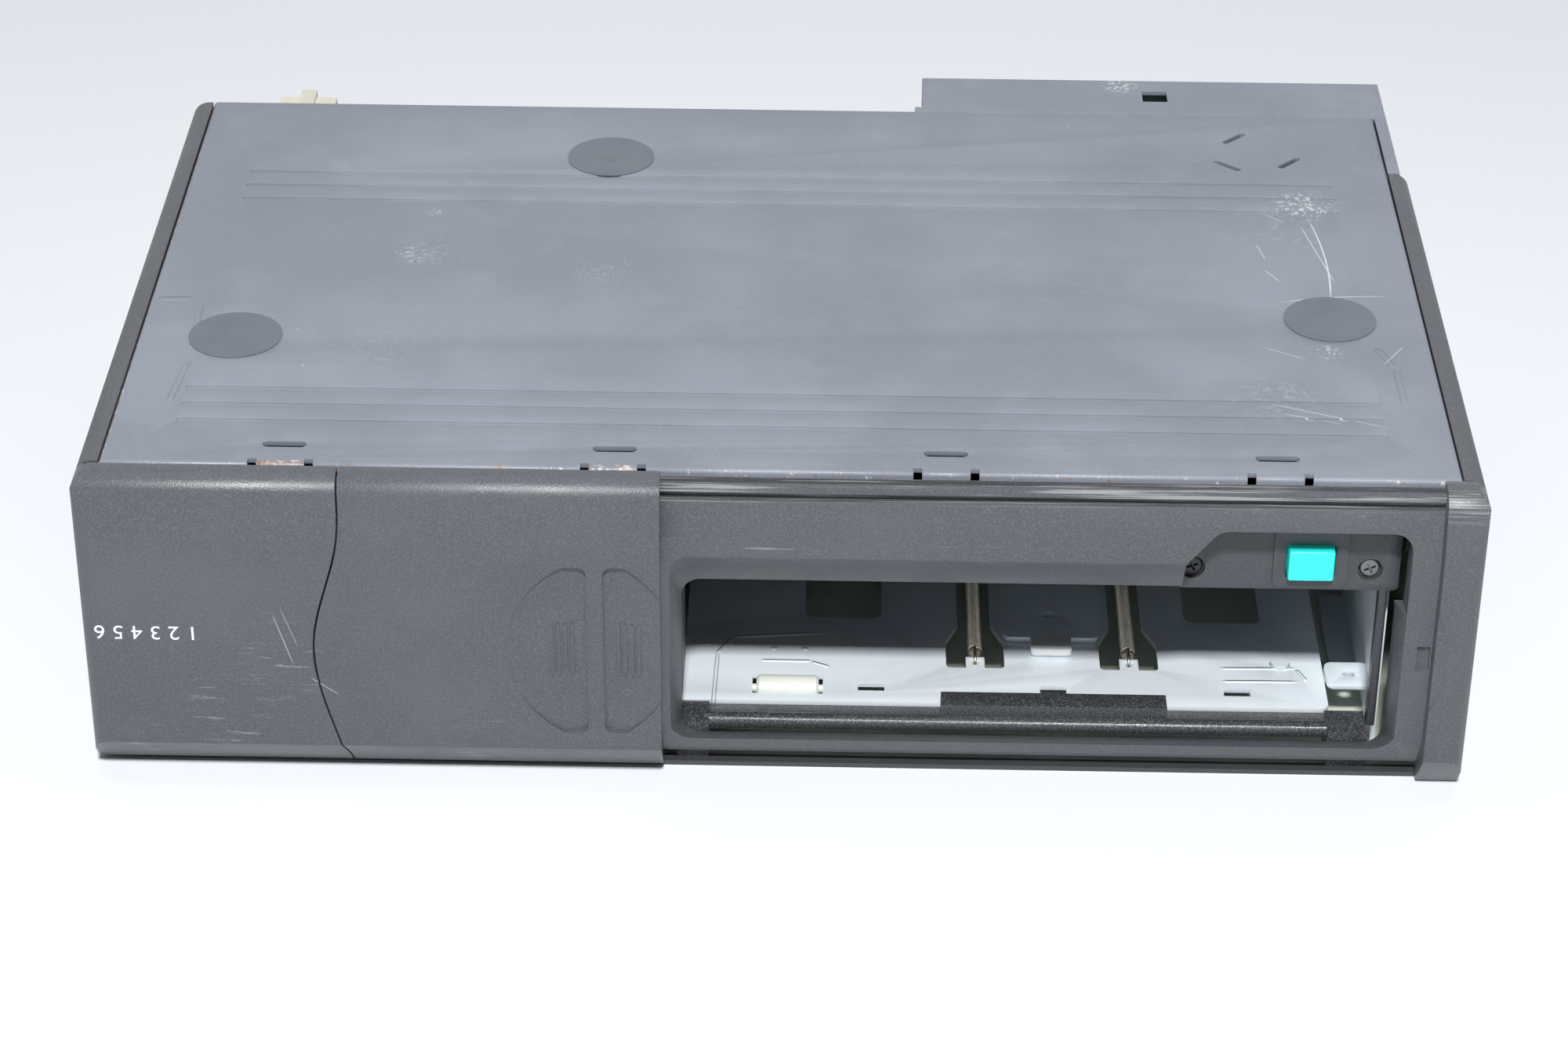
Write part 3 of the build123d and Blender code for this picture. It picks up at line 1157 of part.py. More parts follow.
def spring_tongue(x):
    """The holed tongue that a spring's front hook grips."""
    end = case_y(HOOK_BACK) + TONGUE_LIP
    half = TONGUE_WIDTH / 2
    tongue = block((x - half, x + half), (case_y(CHANNEL_FRONT) - PAST, end), (FLOOR_UNDER, FLOOR_TOP))
    hole_y = case_y(HOOK_BACK) - TONGUE_LIP - TONGUE_HOLE_RADIUS
    return tongue - rod("z", (x, hole_y), TONGUE_HOLE_RADIUS, FLOOR_UNDER - PAST, FLOOR_TOP + PAST)


def make_dampers():
    """Four rubber dampers between the tray and the floor plate."""
    dampers = []
    for x, back in DAMPER_SPOTS:
        section = outline(
            [
                (0, SHEET),
                (DAMPER_RADIUS, SHEET),
                (DAMPER_RADIUS - DAMPER_WAIST, (SHEET + FLOOR_UNDER) / 2),
                (DAMPER_RADIUS, FLOOR_UNDER),
                (DAMPER_HOLE_RADIUS - SEAT_GAP, FLOOR_UNDER),
                (DAMPER_HOLE_RADIUS - SEAT_GAP, FLOOR_TOP + DAMPER_NIB),
                (0, FLOOR_TOP + DAMPER_NIB),
            ]
        )
        dampers.append(Pos(x, case_y(back), 0) * revolve(Plane.XZ * section, Axis.Z))
    return dampers


def make_floor_roller():
    """Roller that eases the magazine in, on its own pin."""
    y = case_y(ROLLER_BACK)
    centre = (y, FLOOR_UNDER)
    body = rod("x", centre, ROLLER_RADIUS, ROLLER_X[0], ROLLER_X[1])
    body = chamfer(body.edges().filter_by(GeomType.CIRCLE), ROLLER_EDGE)
    reach = EAR_REACH - PIN_SHY
    return body + rod("x", centre, ROLLER_PIN_RADIUS, ROLLER_X[0] - reach, ROLLER_X[1] + reach)


def make_guide_bar():
    """Rounded bar along the slot's lower edge, with a raised block and end brackets."""
    y = case_y(GUIDE_BAR_BACK)
    x0, x1 = GUIDE_BAR_X
    bar = rod("x", (y, GUIDE_BAR_Z), GUIDE_BAR_RADIUS, x0, x1)
    low = GUIDE_BAR_Z - GUIDE_STRIP[0]
    rear = case_y(FLOOR_FRONT) - BODY_GAP
    bar += block((x0, x1), (y, rear), (low, GUIDE_BAR_Z + GUIDE_STRIP[1]))
    bar += block(GUIDE_BLOCK_X, (y, rear), (low, GUIDE_BLOCK_TOP))
    for end, (near, far) in zip(GUIDE_BAR_X, GUIDE_ENDS):
        bracket_y = (FRONT_Y + TUNNEL_DEPTH + SEAT_GAP, rear)
        bar += block((end + near, end + far), bracket_y, (SHEET, GUIDE_BAR_Z + GUIDE_END_RISE))
    return bar


def make_side_guide():
    """Silver sheet guide at the bay's right, with a holed foot and a strut on the tray."""
    x = SIDE_GUIDE_X
    cut_x = (x - PAST, x + SHEET + PAST)
    wall = block((x, x + SHEET), (case_y(GUIDE_START), case_y(BAY_REAR)), (SHEET, BAY_ROOF_Z))
    wall -= block(cut_x, stretch(GUIDE_WINDOW), GUIDE_WINDOW_Z)
    wall -= block(cut_x, latch_window_y(), (BAY_ROOF_Z - LATCH_DROP - PAST, BAY_ROOF_Z + PAST))
    foot_z = (FLOOR_TOP + BODY_GAP, FLOOR_TOP + BODY_GAP + SHEET)
    foot = along_z(plate_face((x - GUIDE_FOOT_REACH, x + SHEET / 2), stretch(GUIDE_FOOT), FLOOR_ROUND), *foot_z)
    inset, radius = GUIDE_FOOT_HOLE
    foot -= rod("z", (x - inset, sum(stretch(GUIDE_FOOT)) / 2), radius, FLOOR_TOP, foot_z[1] + PAST)
    strut = block((x - GUIDE_STRUT_REACH, x), stretch(GUIDE_STRUT), (SHEET, SHEET * 2))
    return wall + foot + strut


def stretch(backs):
    """A (low, high) pair of Y places from distances behind the case's front edge."""
    return (case_y(backs[0]), case_y(backs[1]))


def flange_front():
    """Front face of the bay roof's upright flange, behind the eject bracket."""
    return FRONT_Y + BRACKET_DEPTH + BRACKET_THICKNESS


def make_bay_roof():
    """Sheet over the bay, with a left wall that discs pass through and an upright front flange."""
    rear = case_y(BAY_REAR)
    bay = block((BAY_LEFT, SIDE_GUIDE_X + SHEET), (flange_front(), rear), (BAY_ROOF_Z, BAY_ROOF_Z + SHEET))
    bay += roof_flange()
    bay -= button_window()
    bay += disc_wall()
    bay += block((BAY_LEFT, SIDE_GUIDE_X), (rear - SHEET, rear), (FLOOR_TOP, BAY_ROOF_Z))
    bay += spring_stop()
    for x, y in board_posts():
        bay += rod("z", (x, y), BOARD_POST_RADIUS, BAY_ROOF_Z + SHEET, BOARD_Z)
        bay += rod("z", (x, y), BOARD_HOLE_RADIUS - SCREW_ROOM, BOARD_Z, BOARD_Z + BOARD_THICKNESS + FIT)
    pivot = latch_centre()
    bay += rod("z", pivot, LATCH_PIN_RADIUS + LATCH_BOSS, BAY_ROOF_Z + SHEET, LATCH_Z - BODY_GAP)
    pin_top = LATCH_Z + LATCH_THICKNESS + LATCH_PIN_RISE
    bay += rod("z", pivot, LATCH_PIN_RADIUS, BAY_ROOF_Z + SHEET, pin_top)
    window_x = (SIDE_GUIDE_X - LATCH_WIDTH - LATCH_WINDOW_MARGIN, SIDE_GUIDE_X + LATCH_WINDOW_MARGIN)
    return bay - block(window_x, latch_window_y(), (BAY_ROOF_Z - PAST, BAY_ROOF_Z + SHEET + PAST))


def disc_wall():
    """The bay's left wall, open where the discs pass."""
    x = (BAY_LEFT, BAY_LEFT + SHEET)
    wall = block(x, (case_y(FLOOR_FRONT + SHEET), case_y(BAY_REAR)), (FLOOR_TOP, BAY_ROOF_Z))
    window_z = (FLOOR_TOP + DISC_WINDOW_SILL, BAY_ROOF_Z - DISC_WINDOW_HEAD)
    return wall - block((x[0] - PAST, x[1] + PAST), stretch(DISC_WINDOW), window_z)


def roof_flange():
    """Upright flange that the eject bracket is screwed to."""
    front = flange_front()
    flange = block((BRACKET_LEFT, BRACKET_RIGHT - SHEET), (front, front + SHEET), (BAY_ROOF_Z, BRACKET_TOP))
    for x in BRACKET_SCREW_X:
        flange -= rod("y", (x, BRACKET_SCREW_Z), SMALL_SHANK_RADIUS + FIT, front - PAST, front + SHEET + PAST)
    return flange


def button_window():
    """The room that the button's collar moves in."""
    front = flange_front()
    margin = COLLAR_WIDTH + ROLLER_ROOM
    x = (BUTTON_LEFT - margin, BUTTON_LEFT + BUTTON_WIDTH + margin)
    y = (front - PAST, front + BUTTON_TRAVEL + COLLAR_THICKNESS + BODY_GAP * 2)
    return block(x, y, (BAY_ROOF_Z - SEAT_GAP, BUTTON_BOTTOM + BUTTON_HEIGHT + margin + SEAT_GAP))


def spring_stop():
    """Upright tab behind the button's spring, with a hole for the stem."""
    x, z = button_centre()
    y = (flange_front() + STOP_BACK, flange_front() + STOP_BACK + SHEET)
    stop = block((x - STOP_HALF, x + STOP_HALF), y, (BAY_ROOF_Z, z + STOP_HALF - SHEET))
    return stop - rod("y", (x, z), STEM_RADIUS + STEM_ROOM, y[0] - PAST, y[1] + PAST)


# ---- magazine latch ----
def latch_centre():
    """The latch lever's pivot, as (x, y)."""
    return (LATCH_PIVOT[0], case_y(LATCH_PIVOT[1]))


def latch_window_y():
    """The stretch that the latch's hook swings in."""
    end = latch_centre()[1] + LATCH_REACH
    return (end - LATCH_WINDOW[0], end + LATCH_WINDOW[1])


def make_magazine_latch():
    """Lever that the button's stem turns, with a hook that drops into the bay beside the magazine."""
    pivot = latch_centre()
    half = LATCH_WIDTH / 2
    stem_end = flange_front() + BUTTON_TRAVEL + STEM_REACH
    pad = (button_centre()[0], stem_end + BODY_GAP + half)
    tip = (SIDE_GUIDE_X - LATCH_TIP_GAP - half, pivot[1] + LATCH_REACH - half)
    lever = slanted_slot(pivot, pad, half) + slanted_slot(pivot, tip, half) + Pos(*pivot) * Circle(half + SHEET)
    plate = along_z(lever, LATCH_Z, LATCH_Z + LATCH_THICKNESS)
    hook_x = (tip[0] - LATCH_HOOK[0], tip[0] + LATCH_HOOK[1])
    hook_y = (tip[1] - LATCH_HOOK_DEPTH / 2, tip[1] + LATCH_HOOK_DEPTH / 2)
    hook = block(hook_x, hook_y, (BAY_ROOF_Z - LATCH_DROP, LATCH_Z + LATCH_THICKNESS / 2))
    hole = rod("z", pivot, LATCH_PIN_RADIUS + FIT, LATCH_Z - PAST, LATCH_Z + LATCH_THICKNESS + PAST)
    return plate + hook - hole


# ---- magazine ejector ----
def make_ejector_slider():
    """Sliding plate between the springs, with an ear for each spring and an upright pusher."""
    z = (SLIDER_Z, SLIDER_Z + SLIDER_SHEET)
    face = plate_face((SLIDER_LEFT, SLIDER_RIGHT), (case_y(SLIDER_FRONT), case_y(SLIDER_REAR)), SLIDER_ROUND)
    slider = along_z(face, *z)
    ear_front = case_y(REAR_HOOK_BACK) - TONGUE_LIP
    for x in SPRING_X:
        inner = SLIDER_LEFT + SHEET if x < SLIDER_LEFT else SLIDER_RIGHT - SHEET
        outer = x - EAR_WIDTH if x < SLIDER_LEFT else x + EAR_WIDTH
        slider += block((inner, outer), (ear_front, ear_front + EAR_DEPTH), z)
        hole = (x, case_y(REAR_HOOK_BACK) + TONGUE_LIP + TONGUE_HOLE_RADIUS)
        slider -= rod("z", hole, TONGUE_HOLE_RADIUS, z[0] - PAST, z[1] + PAST)
    rear = case_y(SLIDER_REAR)
    pusher_x = (SLIDER_LEFT + SLIDER_ROUND, SLIDER_RIGHT - SLIDER_ROUND)
    slider += block(pusher_x, (rear - SHEET, rear), (z[0], z[0] + SLIDER_FLANGE))
    back, radius = SLIDER_HOLE
    return slider - rod("z", (sum(SHOE_X) / 2, case_y(back)), radius, z[0] - PAST, z[1] + PAST)


def make_slider_shoe():
    """White plastic shoe clipped on the slider's front edge."""
    y = (case_y(SHOE_FRONT), case_y(SLIDER_FRONT))
    z = (SLIDER_Z, SLIDER_Z + SHOE_HEIGHT)
    return along_z(plate_face(SHOE_X, y, SHOE_ROUND), *z)


def helix_frame(index, steps):
    """Point and direction on a coil after index steps of a turn's fraction, from the front hook's eye."""
    angle = math.pi / 2 + 2 * math.pi * index / steps
    along = COIL_LEAD + COIL_PITCH * index / steps
    rise = COIL_AXIS_Z - HOOK_Z
    point = Vector(COIL_RADIUS * math.cos(angle), along, rise + COIL_RADIUS * math.sin(angle))
    slope = COIL_PITCH / (2 * math.pi * COIL_RADIUS)
    return point, Vector(-math.sin(angle), slope, math.cos(angle)).normalized()


def biarc(start, start_way, end, end_way):
    """Two tangent arcs from one point and direction to another."""
    gap = end - start
    both = start_way + end_way
    spread = 2 * (1 - start_way.dot(end_way))
    across = gap.dot(both)
    if spread < 1e-6:
        reach = gap.dot(gap) / (4 * gap.dot(end_way))
    else:
        reach = (-across + math.sqrt(across * across + spread * gap.dot(gap))) / spread
    first = start + start_way * reach
    last = end - end_way * reach
    middle = (first + last) * 0.5
    way = (last - first).normalized()
    return [Edge.make_tangent_arc(start, start_way, middle), Edge.make_tangent_arc(middle, way, end)]


def spring_path():
    """One unbroken centre line from the front hook's eye: hook, lead, coil, lead and rear hook."""
    forward = Vector(0, 1, 0)
    far = REAR_HOOK_BACK - HOOK_BACK
    rise = REAR_HOOK_Z - HOOK_Z
    point, way = Vector(0, 0, HOOK_RADIUS), forward
    path = [Edge.make_three_point_arc(Vector(0, 0, -HOOK_RADIUS), Vector(0, -HOOK_RADIUS, 0), point)]
    for index in range(COIL_TURNS * STEPS_PER_TURN + 1):
        target, target_way = helix_frame(index, STEPS_PER_TURN)
        path += biarc(point, way, target, target_way)
        point, way = target, target_way
    top = Vector(0, far, rise + HOOK_RADIUS)
    tip = Vector(0, far, rise - HOOK_RADIUS)
    path += biarc(point, way, top, forward)
    path.append(Edge.make_three_point_arc(top, Vector(0, far + HOOK_RADIUS, rise), tip))
    return Wire(path)


def make_ejector_spring(x):
    """Tension spring of one wire, wound about its own line and then set between its two tongues."""
    path = spring_path()
    across = Plane(origin=path.position_at(0), z_dir=path.tangent_at(0))
    wire = sweep(across * RegularPolygon(WIRE_RADIUS, WIRE_SIDES, rotation=WIRE_TURN), path)
    return Pos(x, case_y(HOOK_BACK), HOOK_Z) * wire


def least_coil_gap():
    """Least gap between neighbouring turns, measured on points of the centre line."""
    fine = STEPS_PER_TURN * 10
    points = [helix_frame(index, fine)[0] for index in range(COIL_TURNS * fine)]
    apart = fine // 2
    least = min((a - b).length for i, a in enumerate(points) for b in points[i + apart : i + apart * 4])
    return least - 2 * WIRE_RADIUS


# ---- player ----
def rod_places():
    """X of the two guide rods."""
    return (SPINDLE_X - ROD_SPREAD, SPINDLE_X + ROD_SPREAD)


def make_player_deck():
    """Lifting plate with the sled's window, motor hole, side pins and clamp ears."""
    face = plate_face((DECK_LEFT, DECK_RIGHT), (case_y(DECK_FRONT), case_y(DECK_REAR)), DECK_ROUND)
    half_width = SLED_SIZE[0] / 2 + SLED_ROOM
    half_length = SLED_SIZE[1] / 2 + SLED_ROOM
    window_y = stretch((SLED_START - half_length, SLED_START + SLED_TRAVEL + half_length))
    face -= plate_face((SPINDLE_X - half_width, SPINDLE_X + half_width), window_y, SLED_ROOM)
    deck = along_z(face, DECK_Z, DECK_TOP)
    motor_hole = SPINDLE_RADIUS + SPINDLE_BOSS + BODY_GAP
    deck -= rod("z", (SPINDLE_X, SPINDLE_Y), motor_hole, DECK_Z - PAST, DECK_TOP + PAST)
    for back in CAM_PIN_BACK:
        deck += deck_lug(back)
    for side in (-1, 1):
        deck += clamp_ear(SPINDLE_X + side * (CLAMP_WIDTH / 2 + CLAMP_EAR_OFFSET))
    return deck


def deck_lug(back):
    """Block on the deck's left edge with the pin that rides in the cam plate."""
    width, depth, height = LUG_SIZE
    y = case_y(back)
    lug = block((DECK_LEFT, DECK_LEFT + width), (y - depth / 2, y + depth / 2), (DECK_Z, DECK_TOP + height))
    return lug + rod("x", (y, CAM_PIN_Z), CAM_PIN_RADIUS, CAM_X - CAM_SHEET / 2, DECK_LEFT + SHEET)


def clamp_ear(x):
    """Upright ear that the clamp arm's pin turns in."""
    y = (case_y(CLAMP_HINGE_BACK) - CLAMP_EAR_MARGIN, case_y(DECK_REAR))
    ear = block((x - CLAMP_EAR_HALF, x + CLAMP_EAR_HALF), y, (DECK_Z, CLAMP_Z + CLAMP_EAR_MARGIN))
    reach = CLAMP_EAR_HALF + PAST
    return ear - rod("x", clamp_hinge(), CLAMP_PIN_RADIUS + FIT, x - reach, x + reach)


def clamp_hinge():
    """The clamp arm's hinge line, as (y, z)."""
    return (case_y(CLAMP_HINGE_BACK), CLAMP_Z)


def make_spindle_motor():
    """Flat motor under the deck, with its shaft up to the turntable."""
    can = rod("z", (SPINDLE_X, SPINDLE_Y), MOTOR_RADIUS, DECK_Z - MOTOR_HEIGHT, DECK_Z)
    can = chamfer(can.edges().group_by(Axis.Z)[0], MOTOR_EDGE)
    boss = rod("z", (SPINDLE_X, SPINDLE_Y), SPINDLE_RADIUS + SPINDLE_BOSS, DECK_Z, DECK_TOP + SEAT_GAP)
    shaft = rod("z", (SPINDLE_X, SPINDLE_Y), SPINDLE_RADIUS, DECK_Z, DECK_TOP + SPINDLE_HEIGHT)
    return can + boss + shaft


def make_turntable():
    """Disc seat with a domed centring hub, on the motor's shaft."""
    low = DECK_TOP + TABLE_LIFT
    top = low + TABLE_THICKNESS
    section = outline(
        [
            (SPINDLE_RADIUS + FIT, low),
            (TABLE_RADIUS, low),
            (TABLE_RADIUS, top),
            (TABLE_HUB_RADIUS, top),
            (TABLE_HUB_RADIUS, top + TABLE_HUB_HEIGHT * TABLE_HUB_SHOULDER),
            (TABLE_HUB_RADIUS - TABLE_HUB_TAPER, top + TABLE_HUB_HEIGHT),
            (SPINDLE_RADIUS + FIT, top + TABLE_HUB_HEIGHT),
        ]
    )
    return Pos(SPINDLE_X, SPINDLE_Y, 0) * revolve(Plane.XZ * section, Axis.Z)


def make_pickup_sled():
    """Sled on the two rods, with a nut arm on the lead screw."""
    y = case_y(SLED_START)
    width, length, height = SLED_SIZE
    top = ROD_Z + height / 2
    body = Pos(SPINDLE_X, y, ROD_Z) * Box(width, length, height)
    body = fillet(body.edges().filter_by(Axis.Z), SLED_ROUND)
    past_screw, past_rod, half = SLED_ARM
    left, right = rod_places()
    arm_z = (ROD_Z - height / 2 + SLED_ARM_SILL, top)
    sled = body + block((SCREW_X - past_screw, right + past_rod), (y - half, y + half), arm_z)
    for x in (left, right, SCREW_X):
        sled -= rod("y", (x, ROD_Z), ROD_RADIUS + FIT, y - length, y + length)
    pocket = LENS_RADIUS + LENS_RIM + LENS_ROOM
    return sled - rod("z", (SPINDLE_X, y), pocket, top - LENS_SEAT, top + PAST)


def make_pickup_lens():
    """Lens in its round holder on the sled."""
    y = case_y(SLED_START)
    low = ROD_Z + SLED_SIZE[2] / 2 - LENS_SEAT
    high = low + LENS_HOLDER
    holder = rod("z", (SPINDLE_X, y), LENS_RADIUS + LENS_RIM, low, high)
    ball = (LENS_RADIUS**2 + DOME_RISE**2) / (2 * DOME_RISE)
    dome = Pos(SPINDLE_X, y, high + DOME_RISE - ball) * Sphere(ball)
    return holder + (dome & rod("z", (SPINDLE_X, y), LENS_RADIUS, low, high + DOME_RISE))


def make_guide_rods():
    """Two steel rods that the sled runs on."""
    return [rod("y", (x, ROD_Z), ROD_RADIUS, case_y(ROD_FRONT), case_y(ROD_REAR)) for x in rod_places()]


def make_rod_holders():
    """Four blocks on the deck that hold the rods' ends, and one that carries the lead screw's tip."""
    width, depth, height = HOLDER
    holders = []
    for x in rod_places():
        for y in (case_y(ROD_FRONT), case_y(ROD_REAR) - depth):
            body = block((x - width / 2, x + width / 2), (y, y + depth), (DECK_TOP, DECK_TOP + height))
            holders.append(body - rod("y", (x, ROD_Z), ROD_RADIUS, y, y + depth))
    tip = (case_y(SCREW_FRONT) - TIP_HOLDER_DEPTH, case_y(SCREW_FRONT))
    body = block((SCREW_X - width / 2, SCREW_X + width / 2), tip, (DECK_TOP, DECK_TOP + height))
    holders.append(body - rod("y", (SCREW_X, ROD_Z), ROD_RADIUS * SCREW_TIP_SHARE + FIT, *tip))
    return holders


def make_lead_screw():
    """Feed screw beside the rods, driven by the sled motor."""
    front = case_y(SCREW_FRONT)
    rear = case_y(ROD_REAR) - SLED_MOTOR_LENGTH
    screw_rod = rod("y", (SCREW_X, ROD_Z), ROD_RADIUS, front + BODY_GAP, rear - BODY_GAP)
    tip_radius = ROD_RADIUS * SCREW_TIP_SHARE
    return screw_rod + rod("y", (SCREW_X, ROD_Z), tip_radius, front - SCREW_TIPS[0], rear + SCREW_TIPS[1])


def make_sled_motor():
    """Small motor on the deck that turns the lead screw."""
    rear = case_y(ROD_REAR)
    front = rear - SLED_MOTOR_LENGTH
    bore = ROD_RADIUS * SCREW_TIP_SHARE + FIT
    can = rod("y", (SCREW_X, ROD_Z), SLED_MOTOR_RADIUS, front, rear)
    can -= rod("y", (SCREW_X, ROD_Z), bore, front - PAST, front + SCREW_TIPS[1] + PAST)
    half, start = SLED_MOTOR_FOOT
    return can + block((SCREW_X - half, SCREW_X + half), (front + start, rear), (DECK_TOP, ROD_Z))


def make_clamp_arm():
    """Arm over the turntable that presses the disc down, hinged at the deck's rear."""
    hinge_y, hinge_z = clamp_hinge()
    half = CLAMP_WIDTH / 2
    z = (CLAMP_Z - CLAMP_SHEET / 2, CLAMP_Z + CLAMP_SHEET / 2)
    arm = block((SPINDLE_X - half, SPINDLE_X + half), (SPINDLE_Y, hinge_y), z)
    arm += rod("z", (SPINDLE_X, SPINDLE_Y), half, *z)
    start, thickness, rise = CLAMP_FLANGE
    for side in (-1, 1):
        edge = SPINDLE_X + side * half
        arm += block((edge, edge - side * thickness), (SPINDLE_Y + start, hinge_y), (CLAMP_Z, CLAMP_Z + rise))
    arm += rod("x", (hinge_y, hinge_z), CLAMP_PIN_RADIUS + CLAMP_BARREL, SPINDLE_X - half, SPINDLE_X + half)
    reach = half + CLAMP_PIN_REACH
    arm += rod("x", (hinge_y, hinge_z), CLAMP_PIN_RADIUS, SPINDLE_X - reach, SPINDLE_X + reach)
    return arm - rod("z", (SPINDLE_X, SPINDLE_Y), PUCK_SHANK + PUCK_ROOM, z[0] - PAST, z[1] + PAST)


def make_clamp_puck():
    """Magnetic puck that turns with the disc, hanging loose in the arm's end."""
    centre = (SPINDLE_X, SPINDLE_Y)
    low = CLAMP_Z - CLAMP_SHEET / 2 - BODY_GAP - PUCK_HEIGHT
    cap = low + PUCK_HEIGHT - PUCK_TOP
    puck = rod("z", centre, PUCK_RADIUS, low, low + PUCK_HEIGHT)
    puck -= rod("z", centre, TABLE_HUB_RADIUS + PUCK_ROOM * 1.5, low - PAST, cap)
    rim, head_low, head_high = PUCK_HEAD
    puck += rod("z", centre, PUCK_SHANK, low + PUCK_RECESS, CLAMP_Z + head_high)
    return puck + rod("z", centre, PUCK_SHANK + rim, CLAMP_Z + head_low, CLAMP_Z + head_high)


# ---- lift ----
def slanted_slot(start, end, radius):
    """A slot as (y, z) between two centres."""
    run = Vector(end[0] - start[0], end[1] - start[1])
    angle = math.degrees(math.atan2(run.Y, run.X))
    middle = ((start[0] + end[0]) / 2, (start[1] + end[1]) / 2)
    return Pos(*middle) * Rot(0, 0, angle) * SlotCenterToCenter(run.length, radius * 2)


def make_lift_cam_plate():
    """Slotted plate: sliding it back by a distance lifts the deck by the same."""
    face = plate_face(stretch((CAM_FRONT, CAM_REAR)), (CAM_BOTTOM, CAM_TOP), CAM_ROUND)
    for back in CAM_PIN_BACK:
        start = (case_y(back) + CAM_ROOM, CAM_PIN_Z - CAM_ROOM)
        end = (case_y(back) - DECK_LIFT - CAM_ROOM, CAM_PIN_Z + DECK_LIFT + CAM_ROOM)
        face -= slanted_slot(start, end, CAM_PIN_RADIUS + CAM_ROOM)
    for back in CAM_RIVET_BACK:
        start = (case_y(back) + CAM_ROOM, CAM_RIVET_Z)
        end = (case_y(back) - DECK_LIFT - CAM_ROOM, CAM_RIVET_Z)
        face -= slanted_slot(start, end, CAM_RIVET_RADIUS + CAM_ROOM)
    return along_x(face, CAM_X - CAM_SHEET / 2, CAM_X + CAM_SHEET / 2)


def make_cam_rivets():
    """Two shoulder rivets on the left side plate that the cam plate slides on."""
    rivets = []
    wall = -TRAY_HALF + SHEET
    for back in CAM_RIVET_BACK:
        centre = (case_y(back), CAM_RIVET_Z)
        inner = CAM_X + CAM_SHEET / 2 + BODY_GAP
        rivet = rod("x", centre, CAM_RIVET_RADIUS, wall, inner)
        rivet += rod("x", centre, CAM_RIVET_HEAD, inner, inner + CAM_RIVET_HEAD_HEIGHT)
        rivet += rod("x", centre, CAM_RIVET_HEAD, wall, CAM_X - CAM_SHEET / 2 - BODY_GAP)
        rivet += rod("x", centre, CAM_RIVET_TAIL, wall - SHEET, wall)
        rivets.append(rivet)
    return rivets


def make_lift_motor():
    """Motor in the rear left corner that drives the cam plate, standing in a bracket on the floor plate."""
    x, back, z = LIFT_MOTOR_PLACE
    centre = (case_y(back), z)
    face = x + LIFT_MOTOR_LENGTH
    y = (case_y(back) - LIFT_MOTOR_RADIUS + LIFT_MOTOR_BRACKET_INSET, case_y(BAY_REAR))
    can = rod("x", centre, LIFT_MOTOR_RADIUS, x, face)
    bracket = block((face, face + DECK_THICKNESS), y, (FLOOR_TOP, z))
    foot = block((face, face + LIFT_MOTOR_FOOT), y, (FLOOR_TOP, FLOOR_TOP + DECK_THICKNESS))
    worm = rod("x", centre, LIFT_WORM_RADIUS, x - LIFT_WORM_LENGTH, x)
    return can + bracket + foot + worm


# ---- writing ----
def write(name, shape):
    """Writes one sub-part, which may be a list of separate solids."""
    solids = shape if isinstance(shape, list) else [shape]
    parts = [solid for item in solids for solid in item.solids()]
    export_step(Compound(children=parts), os.path.join("parts", name + ".step"))


def main():
    """Writes every sub-part."""
    os.makedirs("parts", exist_ok=True)
    print("least gap between the springs' turns", round(least_coil_gap(), 3), "mm")
    write("upper_cover", make_upper_cover())
    write("lower_cover", make_lower_cover())
    write("left_side_plate", make_side_plate(-1))
    write("right_side_plate", make_side_plate(1))
    write("hole_seals", make_hole_seals())
    write("left_side_cover", make_side_cover(-1, CASE_DEPTH))
    write("right_side_cover", make_side_cover(1, RIGHT_COVER_DEPTH))
    write("mount_nuts", make_mount_nuts())
    write("cover_screws", make_cover_screws())
    write("rear_box", make_rear_box())
    write("rear_socket", make_rear_socket())
    write("cable_socket", make_cable_socket())
    write("main_board", make_main_board())
    write("front_frame", make_front_frame())
    write("left_front_panel", make_left_panel())
    write("outer_door", make_outer_door())
    write("inner_door", make_inner_door())
    write("eject_bracket", make_eject_bracket())
    write("bracket_screws", make_bracket_screws())
    write("eject_button", make_eject_button())
    write("button_spring", make_button_spring())
    write("floor_plate", make_floor_plate())
    write("dampers", make_dampers())
    write("floor_roller", make_floor_roller())
    write("guide_bar", make_guide_bar())
    write("side_guide", make_side_guide())
    write("bay_roof", make_bay_roof())
    write("magazine_latch", make_magazine_latch())
    write("ejector_slider", make_ejector_slider())
    write("slider_shoe", make_slider_shoe())
    for name, x in zip(("left_ejector_spring", "right_ejector_spring"), SPRING_X):
        write(name, make_ejector_spring(x))
    write("player_deck", make_player_deck())
    write("spindle_motor", make_spindle_motor())
    write("turntable", make_turntable())
    write("pickup_sled", make_pickup_sled())
    write("pickup_lens", make_pickup_lens())
    write("guide_rods", make_guide_rods())
    write("rod_holders", make_rod_holders())
    write("lead_screw", make_lead_screw())
    write("sled_motor", make_sled_motor())
    write("clamp_arm", make_clamp_arm())
    write("clamp_puck", make_clamp_puck())
    write("lift_cam_plate", make_lift_cam_plate())
    write("cam_rivets", make_cam_rivets())
    write("lift_motor", make_lift_motor())


main()
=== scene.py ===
"""A six-disc car CD changer lying on a pale table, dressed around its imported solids.

Metres. +X is right as seen from the front, +Y is back, +Z is up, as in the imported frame.
"""

import json
import logging
import math
from collections.abc import Callable, Sequence
from dataclasses import dataclass
from enum import Enum

